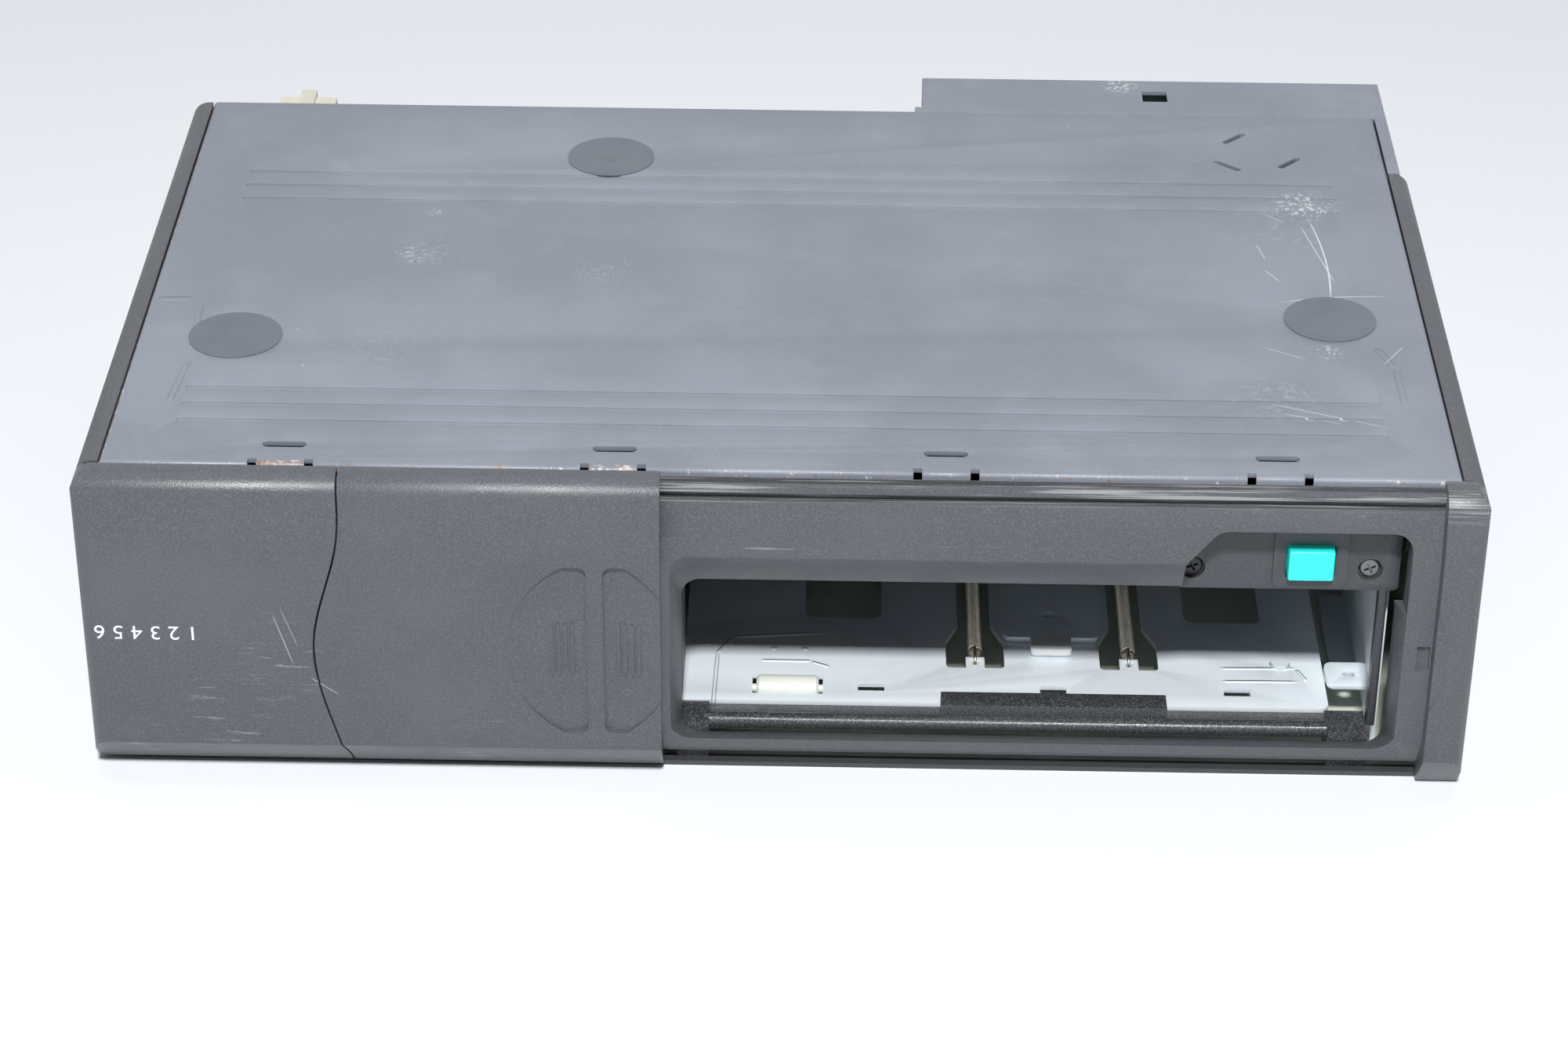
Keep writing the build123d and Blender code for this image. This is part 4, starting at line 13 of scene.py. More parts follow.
import bpy
from mathutils import Euler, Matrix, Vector
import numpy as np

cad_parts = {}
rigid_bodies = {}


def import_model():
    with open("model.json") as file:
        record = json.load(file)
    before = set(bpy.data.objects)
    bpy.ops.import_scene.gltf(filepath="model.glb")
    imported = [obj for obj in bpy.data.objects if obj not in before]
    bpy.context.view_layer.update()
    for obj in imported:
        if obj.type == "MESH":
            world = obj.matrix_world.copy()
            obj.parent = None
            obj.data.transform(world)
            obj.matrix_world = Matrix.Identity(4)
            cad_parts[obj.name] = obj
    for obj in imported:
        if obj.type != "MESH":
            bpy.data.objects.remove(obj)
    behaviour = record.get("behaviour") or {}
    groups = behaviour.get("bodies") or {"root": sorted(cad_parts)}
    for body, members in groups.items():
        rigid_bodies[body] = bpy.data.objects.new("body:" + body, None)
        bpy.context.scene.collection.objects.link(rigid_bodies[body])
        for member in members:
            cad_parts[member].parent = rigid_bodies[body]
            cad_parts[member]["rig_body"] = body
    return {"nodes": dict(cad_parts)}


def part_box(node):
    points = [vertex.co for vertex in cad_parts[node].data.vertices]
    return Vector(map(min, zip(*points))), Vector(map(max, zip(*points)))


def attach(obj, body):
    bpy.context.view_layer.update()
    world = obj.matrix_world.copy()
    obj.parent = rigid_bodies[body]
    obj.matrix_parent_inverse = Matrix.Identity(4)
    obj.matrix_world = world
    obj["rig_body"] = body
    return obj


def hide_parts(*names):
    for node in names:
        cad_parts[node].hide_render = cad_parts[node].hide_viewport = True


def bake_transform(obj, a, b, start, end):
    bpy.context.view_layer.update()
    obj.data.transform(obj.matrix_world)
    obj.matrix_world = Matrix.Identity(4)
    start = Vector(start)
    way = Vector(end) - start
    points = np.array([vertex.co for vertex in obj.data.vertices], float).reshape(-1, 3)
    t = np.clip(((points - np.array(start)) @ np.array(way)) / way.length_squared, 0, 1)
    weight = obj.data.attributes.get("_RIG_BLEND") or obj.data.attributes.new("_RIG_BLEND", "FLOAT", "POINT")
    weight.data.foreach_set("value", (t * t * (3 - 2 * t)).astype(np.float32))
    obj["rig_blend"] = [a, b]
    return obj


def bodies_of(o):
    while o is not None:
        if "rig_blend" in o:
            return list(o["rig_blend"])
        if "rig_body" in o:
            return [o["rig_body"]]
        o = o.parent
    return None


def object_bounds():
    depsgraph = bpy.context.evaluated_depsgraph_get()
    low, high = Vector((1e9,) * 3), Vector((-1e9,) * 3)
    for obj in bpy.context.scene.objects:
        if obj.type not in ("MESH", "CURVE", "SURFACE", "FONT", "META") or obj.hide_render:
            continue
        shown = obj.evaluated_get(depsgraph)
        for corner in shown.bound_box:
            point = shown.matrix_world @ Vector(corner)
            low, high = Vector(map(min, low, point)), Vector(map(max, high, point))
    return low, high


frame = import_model()
CAD_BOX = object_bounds()

MM = 0.001
LOG = logging.getLogger("changer")
Point = tuple[float, float, float]
Colour = tuple[float, float, float]
Pair = tuple[float, float]
Row = tuple[float, ...]
Rows = tuple[Row, ...]
Socket = bpy.types.NodeSocket
Mark = Callable[["Graph"], Socket | float]

FRONT_Y = CAD_BOX[0].y
PLATE_FRONT_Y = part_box("upper_cover")[0].y
PLATE_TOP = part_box("upper_cover")[1].z
WHITE_PRINT = (0.82, 0.83, 0.85)
RUBBED_PLASTIC = (0.42, 0.42, 0.43)
PRIMER = (0.66, 0.67, 0.68)
MERGE_GAP = 0.002 * MM
FLAT_ANGLE = math.radians(1.0)


class Axis(Enum):
    """An axis by its place in a coordinate."""

    X = 0
    Y = 1
    Z = 2


Plane = tuple[Axis, Axis]
TOP_AXES: Plane = (Axis.X, Axis.Y)
FRONT_AXES: Plane = (Axis.X, Axis.Z)


# ---------------------------------------------------------------- node graphs


class Graph:
    """One material's nodes, all reading Object coordinates in metres."""

    def __init__(self, name: str) -> None:
        """Starts a material with its shader.

        Args:
            name: the material's name.
        """
        self.material = bpy.data.materials.new(name)
        self.material.use_nodes = True
        self.nodes = self.material.node_tree.nodes
        self.links = self.material.node_tree.links
        self.shader = self.nodes["Principled BSDF"]
        self.coords = self.nodes.new("ShaderNodeTexCoord").outputs["Object"]
        self.parts = self.nodes.new("ShaderNodeSeparateXYZ")
        self.links.new(self.coords, self.parts.inputs[0])

    def feed(self, socket: Socket, value: object) -> None:
        """Links a socket to another, or sets its value.

        Args:
            socket: the input.
            value: what it takes, a socket or a plain value.
        """
        if isinstance(value, Socket):
            self.links.new(value, socket)
        else:
            socket.default_value = value

    def set(self, name: str, value: object) -> None:
        """Sets or links one of the shader's own sockets; a colour gets its alpha."""
        if isinstance(value, tuple) and len(value) == 3:
            value = (*value, 1.0)
        self.feed(self.shader.inputs[name], value)

    def axis(self, which: Axis) -> Socket:
        """One coordinate, in metres."""
        return self.parts.outputs[which.value]

    def math(self, kind: str, *values: object, clamp: bool = False) -> Socket:
        """A Math node.

        Args:
            kind: the node's operation.
            values: its inputs, numbers or sockets.
            clamp: keeps the result between 0 and 1.

        Returns:
            The result's socket.
        """
        node = self.nodes.new("ShaderNodeMath")
        node.operation = kind
        node.use_clamp = clamp
        for socket, value in zip(node.inputs, values):
            self.feed(socket, value)
        return node.outputs[0]

    def spread(self, value: object, low: float, high: float, to: Pair = (0.0, 1.0)) -> Socket:
        """Maps a span smoothly to another, clamped.

        Args:
            value: the number or socket to map.
            low: where the span starts.
            high: where it ends.
            to: the results at both ends.

        Returns:
            The mapped value's socket.
        """
        node = self.nodes.new("ShaderNodeMapRange")
        node.interpolation_type = "SMOOTHSTEP"
        for socket, number in zip(node.inputs, (value, low, high, *to)):
            self.feed(socket, number)
        return node.outputs[0]

    def noise(self, grain: float, detail: float = 2.0, rough: float = 0.5,
              stretch: Point = (1.0, 1.0, 1.0), turn: float = 0.0, shift: float = 0.0) -> Socket:
        """Noise whose features are about one grain wide.

        Args:
            grain: the feature size, in metres.
            detail: octaves of finer noise.
            rough: how strong the finer noise is.
            stretch: how many times longer a feature is along each axis.
            turn: angle of the stretched features about Z, in radians.
            shift: moves the pattern, to make two alike ones differ.

        Returns:
            The noise factor's socket, about 0.5 on average.
        """
        mapping = self.nodes.new("ShaderNodeMapping")
        mapping.vector_type = "TEXTURE"
        mapping.inputs["Rotation"].default_value = (0.0, 0.0, turn)
        mapping.inputs["Location"].default_value = (shift, shift, shift)
        mapping.inputs["Scale"].default_value = tuple(grain * times for times in stretch)
        self.links.new(self.coords, mapping.inputs["Vector"])
        node = self.nodes.new("ShaderNodeTexNoise")
        node.inputs["Scale"].default_value = 1.0
        node.inputs["Detail"].default_value = detail
        node.inputs["Roughness"].default_value = rough
        self.links.new(mapping.outputs[0], node.inputs["Vector"])
        return node.outputs[0]

    def band(self, value: object, centre: float, half: float, soft: float) -> Socket:
        """A strip that is 1 within half of its centre, and 0 past a soft edge."""
        away = self.math("ABSOLUTE", self.math("SUBTRACT", value, centre))
        return self.spread(away, half, half + soft, (1.0, 0.0))

    def spot(self, place: Pair, half: Pair, soft: float) -> Socket:
        """A soft-edged rectangle seen from above, given by its centre and half its size."""
        masks = [self.band(self.axis(axis), at, size, soft) for axis, at, size in zip(TOP_AXES, place, half)]
        return self.math("MULTIPLY", *masks)

    def blob(self, place: Pair, radius: float, ragged: object, axes: Plane = TOP_AXES) -> Socket:
        """A round patch that fades out, broken up by noise.

        Args:
            place: its centre over the two axes, in metres.
            radius: where it has faded out.
            ragged: the share that is left of it, a number or a socket.
            axes: the two axes of the surface.

        Returns:
            The patch's mask.
        """
        offsets = [self.math("SUBTRACT", self.axis(axis), at) for axis, at in zip(axes, place)]
        squares = [self.math("MULTIPLY", offset, offset) for offset in offsets]
        distance = self.math("SQRT", self.math("ADD", *squares))
        fade = self.spread(distance, radius * 0.15, radius, (1.0, 0.0))
        return self.math("MULTIPLY", fade, ragged)

    def scratch(self, start: Pair, end: Pair, width: float, bow: float = 0.0,
                axes: Plane = TOP_AXES) -> Socket:
        """A thin line between two places, thinning at its ends.

        Args:
            start: one end over the two axes, in metres.
            end: the other end.
            width: half the line's width.
            bow: how far its middle is off the straight line.
            axes: the two axes of the surface.

        Returns:
            The line's mask.
        """
        run = Vector(end) - Vector(start)
        length = run.length
        way = run / length
        u, v = [self.math("SUBTRACT", self.axis(axis), at) for axis, at in zip(axes, start)]
        along = self.math("ADD", self.math("MULTIPLY", u, way.x), self.math("MULTIPLY", v, way.y))
        across = self.math("SUBTRACT", self.math("MULTIPLY", v, way.x), self.math("MULTIPLY", u, way.y))
        share = self.math("DIVIDE", along, length)
        arch = self.math("MULTIPLY", share, self.math("SUBTRACT", 1.0, share))
        across = self.math("SUBTRACT", across, self.math("MULTIPLY", arch, bow * 4.0))
        line = self.spread(self.math("ABSOLUTE", across), width * 0.3, width, (1.0, 0.0))
        ends = self.math("MULTIPLY", self.spread(share, 0.0, 0.15), self.spread(share, 0.8, 1.0, (1.0, 0.0)))
        return self.math("MULTIPLY", line, ends)

    def most(self, masks: Sequence[Socket]) -> Socket:
        """The strongest of several masks.

        Args:
            masks: the masks, at least one.

        Returns:
            The joined mask.
        """
        result = masks[0]
        for mask in masks[1:]:
            result = self.math("MAXIMUM", result, mask)
        return result

    def mix(self, share: object, low: object, high: object) -> Socket:
        """Mixes two colours; each is a colour or a socket.

        Args:
            share: how much of the second one shows, from 0 to 1.
            low: the colour where the share is 0.
            high: the colour where it is 1.

        Returns:
            The mixed colour's socket.
        """
        node = self.nodes.new("ShaderNodeMix")
        node.data_type = "RGBA"
        self.feed(node.inputs["Factor"], share)
        for name, value in (("A", low), ("B", high)):
            socket = next(s for s in node.inputs if s.name == name and s.type == "RGBA")
            self.feed(socket, (*value, 1.0) if isinstance(value, tuple) else value)
        return next(s for s in node.outputs if s.type == "RGBA")

    def bump(self, height: object, depth: float, below: Socket | None = None) -> Socket:
        """Raises the surface by a height map.

        Args:
            height: the map, from 0 to 1.
            depth: how far it raises, in metres.
            below: an earlier bump that this one lies on.

        Returns:
            The bumped normal's socket.
        """
        node = self.nodes.new("ShaderNodeBump")
        node.inputs["Distance"].default_value = depth
        self.feed(node.inputs["Height"], height)
        if below is not None:
            self.links.new(below, node.inputs["Normal"])
        self.links.new(node.outputs[0], self.shader.inputs["Normal"])
        return node.outputs[0]


# ---------------------------------------------------------------- marks of wear


def grain_mark(grain: float, low: float, high: float, to: Pair = (0.0, 1.0), detail: float = 4.0,
               rough: float = 0.7, stretch: Point = (1.0, 1.0, 1.0), shift: float = 0.0) -> Mark:
    """Noise that breaks up another mark.

    Args:
        grain: the feature size, in millimetres.
        low: the noise at which the mark starts.
        high: the noise at which it is full.
        to: the mark's strength at both.
        detail: octaves of finer noise.
        rough: how strong the finer noise is.
        stretch: how many times longer a feature is along each axis.
        shift: moves the pattern.

    Returns:
        The mark.
    """
    return lambda graph: graph.spread(
        graph.noise(grain * MM, detail, rough, stretch, shift=shift), low, high, to)


def line_mark(ends: Row, width: float, bow: float = 0.0, base: float = 0.0,
              axes: Plane = TOP_AXES) -> Mark:
    """A thin line on one side of a piece.

    Args:
        ends: both coordinates of its start, then of its end, in millimetres.
        width: half the line's width, in millimetres.
        bow: how far its middle is off the straight line, in millimetres.
        base: where the second coordinate is measured from, in metres.
        axes: the two axes of the side.

    Returns:
        The mark.
    """
    u0, v0, u1, v1 = ends
    start, end = (u0 * MM, base + v0 * MM), (u1 * MM, base + v1 * MM)
    return lambda graph: graph.scratch(start, end, width * MM, bow * MM, axes)


def patch_mark(place: Pair, radius: float, ragged: Mark, base: float = 0.0,
               axes: Plane = TOP_AXES) -> Mark:
    """A round patch on one side of a piece.

    Args:
        place: its centre, in millimetres.
        radius: where it has faded out, in millimetres.
        ragged: what breaks it up.
        base: where the second coordinate is measured from, in metres.
        axes: the two axes of the side.

    Returns:
        The mark.
    """
    centre = (place[0] * MM, base + place[1] * MM)
    return lambda graph: graph.blob(centre, radius * MM, ragged(graph), axes)


def strip_mark(axis: Axis, centre: float, half: float, soft: float, ragged: Mark,
               strength: float = 1.0) -> Mark:
    """A worn strip across a piece.

    Args:
        axis: the axis that it is measured on.
        centre: its middle, in metres.
        half: half its width, in millimetres.
        soft: how wide its edge fades, in millimetres.
        ragged: what breaks it up.
        strength: how strong it is, up to 1.

    Returns:
        The mark.
    """

    def mark(graph: Graph) -> Socket:
        """Draws the strip."""
        level = graph.band(graph.axis(axis), centre, half * MM, soft * MM)
        worn = graph.math("MULTIPLY", ragged(graph), level)
        return worn if strength == 1.0 else graph.math("MULTIPLY", worn, strength)

    return mark


# ---------------------------------------------------------------- finishes


@dataclass(frozen=True)
class Plastic:
    """Grained moulded plastic with dust in the grain and fine scuffs."""

    name: str
    colour: Colour
    light: Colour = (0.20, 0.207, 0.22)
    grain: float = 0.32 * MM
    depth: float = 0.06 * MM
    rough: float = 0.38
    dust: float = 0.34

    def build(self, wear: Sequence[Mark] = ()) -> bpy.types.Material:
        """Makes the material.

        Args:
            wear: marks of pale wear.

        Returns:
            The finished material.
        """
        graph = Graph(self.name)
        fine = graph.noise(self.grain, 2.0, 0.6)
        coarse = graph.noise(28 * MM, 4.0, 0.6)
        speckle = graph.spread(fine, 0.47, 0.66)
        colour = graph.mix(graph.math("MULTIPLY", speckle, self.dust), self.colour, self.light)
        cloud = graph.spread(coarse, 0.42, 0.72, (0.0, 0.35))
        colour = graph.mix(cloud, colour, tuple(channel * 1.5 for channel in self.colour))
        scuff = graph.noise(2.2 * MM, 5.0, 0.7, (7.0, 1.0, 1.0), turn=0.5)
        scuffed = graph.math("MULTIPLY", graph.spread(scuff, 0.64, 0.72, (0.0, 0.5)),
                             graph.spread(coarse, 0.5, 0.62))
        colour = graph.mix(graph.math("MULTIPLY", scuffed, 0.45), colour, self.light)
        if wear:
            mask = graph.most([mark(graph) for mark in wear])
            colour = graph.mix(graph.math("MULTIPLY", mask, 0.85, clamp=True), colour, RUBBED_PLASTIC)
        graph.set("Base Color", colour)
        graph.set("Roughness", graph.spread(coarse, 0.35, 0.7, (self.rough - 0.06, self.rough + 0.1)))
        graph.set("Specular IOR Level", 0.5)
        graph.bump(fine, self.depth)
        return graph.material


@dataclass(frozen=True)
class Paint:
    """Grey paint on sheet steel, with an orange-peel grain, grease smudges, chips and scratches."""

    name: str
    colour: Colour = (0.262, 0.290, 0.336)
    pale: Colour = (0.38, 0.405, 0.44)
    dark: Colour = (0.212, 0.236, 0.276)
    bare: Colour = (0.62, 0.62, 0.61)
    rust: Colour = (0.30, 0.13, 0.05)
    grain: float = 0.75 * MM

    def build(self, bright: Sequence[Mark] = (), rusty: Sequence[Mark] = (), dull: Sequence[Mark] = (),
              greasy: Sequence[Mark] = (), raised: Sequence[Mark] = ()) -> bpy.types.Material:
        """Makes the material.

        Args:
            bright: marks of scratches down to pale primer.
            rusty: the same, for chipped and rusted places.
            dull: the same, for worn pale patches.
            greasy: the same, for dark handling marks.
            raised: the same, for heights pressed into the sheet.

        Returns:
            The finished material.
        """
        graph = Graph(self.name)
        peel = graph.noise(self.grain, 3.0, 0.6)
        smudge = graph.noise(38 * MM, 3.0, 0.55, shift=0.31)
        patch = graph.noise(16 * MM, 4.0, 0.6, shift=0.12)
        colour = graph.mix(graph.spread(smudge, 0.34, 0.66), self.dark, self.colour)
        colour = graph.mix(graph.spread(patch, 0.52, 0.75, (0.0, 0.16)), colour, self.pale)
        colour = graph.mix(graph.spread(peel, 0.55, 0.75, (0.0, 0.22)), colour, self.pale)
        nick = graph.math("MULTIPLY", graph.spread(graph.noise(1.3 * MM, 2.0, 0.5, shift=0.7), 0.76, 0.8),
                          graph.spread(patch, 0.5, 0.6))
        colour = graph.mix(graph.math("MULTIPLY", nick, 0.7), colour, self.bare)
        rough = graph.spread(smudge, 0.35, 0.65, (0.36, 0.52))
        if greasy:
            colour = graph.mix(graph.most([mark(graph) for mark in greasy]), colour, self.dark)
        if dull:
            patches = graph.math("MULTIPLY", graph.most([mark(graph) for mark in dull]), 0.45)
            colour = graph.mix(patches, colour, self.pale)
        if bright:
            colour = graph.mix(graph.most([mark(graph) for mark in bright]), colour, PRIMER)
        if rusty:
            chip = graph.most([mark(graph) for mark in rusty])
            flake = graph.spread(graph.noise(2.5 * MM, 3.0, 0.7, shift=0.5), 0.42, 0.6)
            shade = graph.mix(flake, self.rust, self.bare)
            colour = graph.mix(chip, colour, shade)
        graph.set("Base Color", colour)
        graph.set("Roughness", rough)
        graph.set("Specular IOR Level", 0.45)
        below = graph.bump(peel, 0.07 * MM)
        if raised:
            height = graph.most([mark(graph) for mark in raised])
            graph.bump(height, 0.25 * MM, below)
        return graph.material


@dataclass(frozen=True)
class Metal:
    """Bare or plated metal with a rolled or turned grain and stains."""

    name: str
    colour: Colour
    stain: Colour
    rough: float = 0.34
    metallic: float = 1.0
    grain: Point = (1.0, 14.0, 1.0)
    depth: float = 0.008 * MM

    def build(self, marks: Sequence[Mark] = ()) -> bpy.types.Material:
        """Makes the material.

        Args:
            marks: marks that are raised from the sheet.

        Returns:
            The finished material.
        """
        graph = Graph(self.name)
        rolled = graph.noise(0.35 * MM, 2.0, 0.5, self.grain)
        stain = graph.noise(17 * MM, 4.0, 0.6)
        stained = graph.spread(stain, 0.45, 0.8, (0.0, 0.7))
        graph.set("Base Color", graph.mix(stained, self.colour, self.stain))
        graph.set("Metallic", self.metallic)
        graph.set("Roughness", graph.spread(rolled, 0.3, 0.7, (self.rough - 0.05, self.rough + 0.08)))
        below = graph.bump(rolled, self.depth)
        if marks:
            graph.bump(graph.most([mark(graph) for mark in marks]), 0.4 * MM, below)
        return graph.material


@dataclass(frozen=True)
class Smooth:
    """Smooth moulded plastic, rubber, lacquer or glass, with an optional painted glow."""

    name: str
    colour: Colour
    rough: float = 0.35
    vary: float = 0.12
    coat: float = 0.0
    transmission: float = 0.0
    painted_glow: float = 0.0

    def build(self) -> bpy.types.Material:
        """Makes the material.

        Returns:
            The finished material.
        """
        graph = Graph(self.name)
        cloud = graph.noise(9 * MM, 4.0, 0.6)
        grain = graph.noise(0.3 * MM, 2.0, 0.5)
        shade = tuple(channel * (1.0 - self.vary) for channel in self.colour)
        graph.set("Base Color", graph.mix(graph.spread(cloud, 0.35, 0.7), self.colour, shade))
        graph.set("Roughness", graph.spread(cloud, 0.3, 0.7, (self.rough - 0.04, self.rough + 0.08)))
        if self.coat:
            graph.set("Coat Weight", self.coat)
        if self.transmission:
            graph.set("Transmission Weight", self.transmission)
        # painted glow: emission makes the part shine, though it is no lamp
        if self.painted_glow:
            graph.set("Emission Color", self.colour)
            graph.set("Emission Strength", self.painted_glow)
        graph.bump(grain, 0.012 * MM)
        return graph.material


# ---------------------------------------------------------------- mesh helpers


def deselect() -> None:
    """Clears the selection."""
    bpy.ops.object.select_all(action="DESELECT")


def pick(piece: bpy.types.Object) -> None:
    """Makes one object the selected and active one."""
    deselect()
    piece.select_set(True)
    bpy.context.view_layer.objects.active = piece


def settle(piece: bpy.types.Object, name: str, material: bpy.types.Material) -> bpy.types.Object:
    """Names a new piece, moves its place into its mesh and dresses it.

    Args:
        piece: the piece.
        name: its name.
        material: its finish.

    Returns:
        The same piece.
    """
    pick(piece)
    piece.name = name
    piece.data.name = name
    bpy.ops.object.transform_apply(location=True, rotation=True, scale=True)
    piece.data.materials.clear()
    piece.data.materials.append(material)
    return piece


def apply_modifiers(piece: bpy.types.Object) -> None:
    """Applies every modifier of a piece, in order."""
    pick(piece)
    for modifier in list(piece.modifiers):
        bpy.ops.object.modifier_apply(modifier=modifier.name)


def finer_copy(node: str, edge: float, material: bpy.types.Material, angle: float = 28.0) -> bpy.types.Object:
    """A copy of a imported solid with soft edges, standing for the node.

    Args:
        node: the node's name.
        edge: width of the softened edges, in metres; 0 only smooths the shading.
        material: its finish.
        angle: edges sharper than this many degrees are softened.

    Returns:
        The new piece, riding on the node's body.
    """
    source = frame["nodes"][node]
    piece = bpy.data.objects.new(node + "_shell", source.data.copy())
    bpy.context.scene.collection.objects.link(piece)
    pick(piece)
    bpy.ops.object.mode_set(mode="EDIT")
    bpy.ops.mesh.select_all(action="SELECT")
    bpy.ops.mesh.customdata_custom_splitnormals_clear()
    bpy.ops.mesh.remove_doubles(threshold=MERGE_GAP)
    bpy.ops.mesh.dissolve_limited(angle_limit=FLAT_ANGLE)
    bpy.ops.object.mode_set(mode="OBJECT")
    if edge:
        bevel = piece.modifiers.new("edges", "BEVEL")
        bevel.width = edge
        bevel.segments = 2
        bevel.limit_method = "ANGLE"
        bevel.angle_limit = math.radians(angle)
        bevel.use_clamp_overlap = True
        bevel.harden_normals = False
        apply_modifiers(piece)
    pick(piece)
    bpy.ops.object.shade_smooth_by_angle(angle=math.radians(angle))
    settle(piece, node + "_shell", material)
    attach(piece, body_of(node))
    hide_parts(node)
    return piece


def body_of(node: str) -> str:
    """The body that a node belongs to."""
    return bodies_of(frame["nodes"][node])[0]


def dress(node: str, material: bpy.types.Material) -> None:
    """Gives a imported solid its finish.

    Args:
        node: the node's name.
        material: its finish.
    """
    target = frame["nodes"][node]
    if not target.material_slots:
        target.data.materials.append(material)
    for slot in target.material_slots:
        slot.material = material


# ---------------------------------------------------------------- the object


@dataclass
class Case:
    """Sheet-metal covers, rear box, side covers, seals and what is on the back."""

    edge: float = 0.25 * MM
    seal_spots: tuple[Pair, ...] = ((-104.5, 47.3), (104.8, 59.8), (-37.3, 125.8))
    seal_radius: float = 8.9 * MM
    seal_steps: tuple[Pair, ...] = ((0.25, 0.0), (2.2, -0.02), (1.6, -0.12), (1.4, -0.22), (1.2, -0.05),
                                    (0.9, 0.12), (0.7, 0.06))
    seal_sag: float = 0.4
    scratches: Rows = (
        (104.4, 103.0, 105.6, 66.5, 0.24, 1.4),
        (102.6, 100.0, 107.5, 74.0, 0.14, 0.0),
        (93.2, 91.0, 94.6, 84.0, 0.12, 0.0),
        (94.0, 80.0, 96.6, 75.0, 0.12, 0.0),
        (96.0, 104.0, 100.0, 100.0, 0.12, 0.0),
        (95.8, 66.5, 118.0, 69.5, 0.16, 1.0),
        (91.0, 48.5, 99.0, 44.0, 0.11, 0.0),
        (113.0, 42.0, 118.0, 50.0, 0.11, 0.0),
        (89.0, 27.5, 113.0, 18.0, 0.11, 0.0),
        (92.0, 23.5, 104.0, 19.5, 0.09, 0.0),
    )
    chips: Rows = (
        (104.0, 108.0, 9.0, 1.0), (103.0, 47.0, 4.0, 0.8), (-73.5, 81.5, 5.0, 1.0), (-71.0, 100.0, 2.5, 0.7),
    )
    worn_patches: Rows = (
        (-77.0, 44.5, 12.0, 1.2), (-72.0, 83.0, 10.0, 1.4), (-36.0, 76.0, 9.0, 1.1),
        (100.0, 96.0, 14.0, 1.5), (92.0, 30.0, 12.0, 1.4),
    )
    smudges: Rows = (
        (20.0, 88.0, 13.0, 0.8), (20.0, 47.0, 16.0, 0.9), (33.0, 34.0, 15.0, 0.8), (2.0, 12.0, 18.0, 0.5),
        (46.0, 49.0, 13.0, 0.6), (-30.0, 134.0, 20.0, 0.6), (31.0, 140.0, 12.0, 0.8),
        (62.0, 108.0, 22.0, 0.4),
    )
    pressed: Rows = (
        (-121.5, 61.5, -114.5, 62.0), (-113.0, 60.0, -112.0, 40.0), (-112.0, 38.0, -113.5, 20.0),
        (112.4, 49.0, 115.3, 41.0), (115.3, 41.0, 115.6, 26.0),
    )
    pressed_width: float = 0.9
    rusty_notches: Pair = (-90.1, -30.2)

    def wear(self) -> dict[str, list[Mark]]:
        """Scratches, chips, smudges and rust of the plate.

        Returns:
            The marks by the name of what they do to the paint.
        """
        top = PLATE_FRONT_Y
        bright = [line_mark(row[:4], row[4], row[5], top) for row in self.scratches]
        bright += [self.flaked(*row) for row in self.chips]
        dull = [self.flaked(*row) for row in self.worn_patches]
        greasy = [self.smudged(*row) for row in self.smudges]
        raised = [line_mark(ends, self.pressed_width, 0.0, top) for ends in self.pressed]
        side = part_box("upper_cover")[1].x
        rusty = [
            strip_mark(Axis.X, -side, 0.25, 0.5, grain_mark(2.0, 0.50, 0.60, (0.0, 0.9), rough=0.75)),
            strip_mark(Axis.Y, top, 0.25, 0.3, grain_mark(1.8, 0.58, 0.66, shift=0.4)),
            self.notch_rust,
        ]
        return {"bright": bright, "dull": dull, "greasy": greasy, "rusty": rusty, "raised": raised}

    def flaked(self, x: float, back: float, radius: float, grain: float) -> Mark:
        """A patch of flakes on the plate, in millimetres across and back from its front edge."""
        return patch_mark((x, back), radius, grain_mark(grain, 0.52, 0.62, shift=x * MM), PLATE_FRONT_Y)

    def smudged(self, x: float, back: float, radius: float, share: float) -> Mark:
        """A greasy smudge on the plate, placed likewise; share is how dark it is, up to 1."""
        ragged = grain_mark(9.0, 0.30, 0.70, (0.35 * share, share), 3.0, 0.6, shift=back * MM)
        return patch_mark((x, back), radius, ragged, PLATE_FRONT_Y)

    def notch_rust(self, graph: Graph) -> Socket:
        """Chipped rust round the left notches of the plate's front edge.

        Args:
            graph: the paint's nodes.

        Returns:
            The rust's mask.
        """
        near = [graph.band(graph.axis(Axis.X), x * MM, 5.6 * MM, 0.8 * MM) for x in self.rusty_notches]
        ragged = graph.spread(graph.noise(1.1 * MM, 4.0, 0.75, shift=0.9), 0.44, 0.58)
        strip = graph.band(graph.axis(Axis.Y), PLATE_FRONT_Y + 0.5 * MM, 0.5 * MM, 0.4 * MM)
        return graph.math("MULTIPLY", graph.math("MULTIPLY", graph.most(near), strip), ragged)

    def box_wear(self) -> list[Mark]:
        """White scuffs and a crease on the rear box's top.

        Returns:
            The marks.
        """
        top = PLATE_FRONT_Y
        rub = patch_mark((70.0, 163.5), 5.0, grain_mark(1.0, 0.5, 0.6, shift=0.3), top)
        line = line_mark((97.5, 147.8, 124.2, 122.6), 0.2, 0.0, top)

        def crease(graph: Graph) -> Socket:
            """Draws the crease faintly."""
            return graph.math("MULTIPLY", line(graph), 0.35)

        def dot(graph: Graph) -> Socket:
            """Draws one small chip."""
            return graph.spot((122.4 * MM, top + 139.5 * MM), (0.5 * MM, 0.3 * MM), 0.2 * MM)

        return [rub, crease, dot]

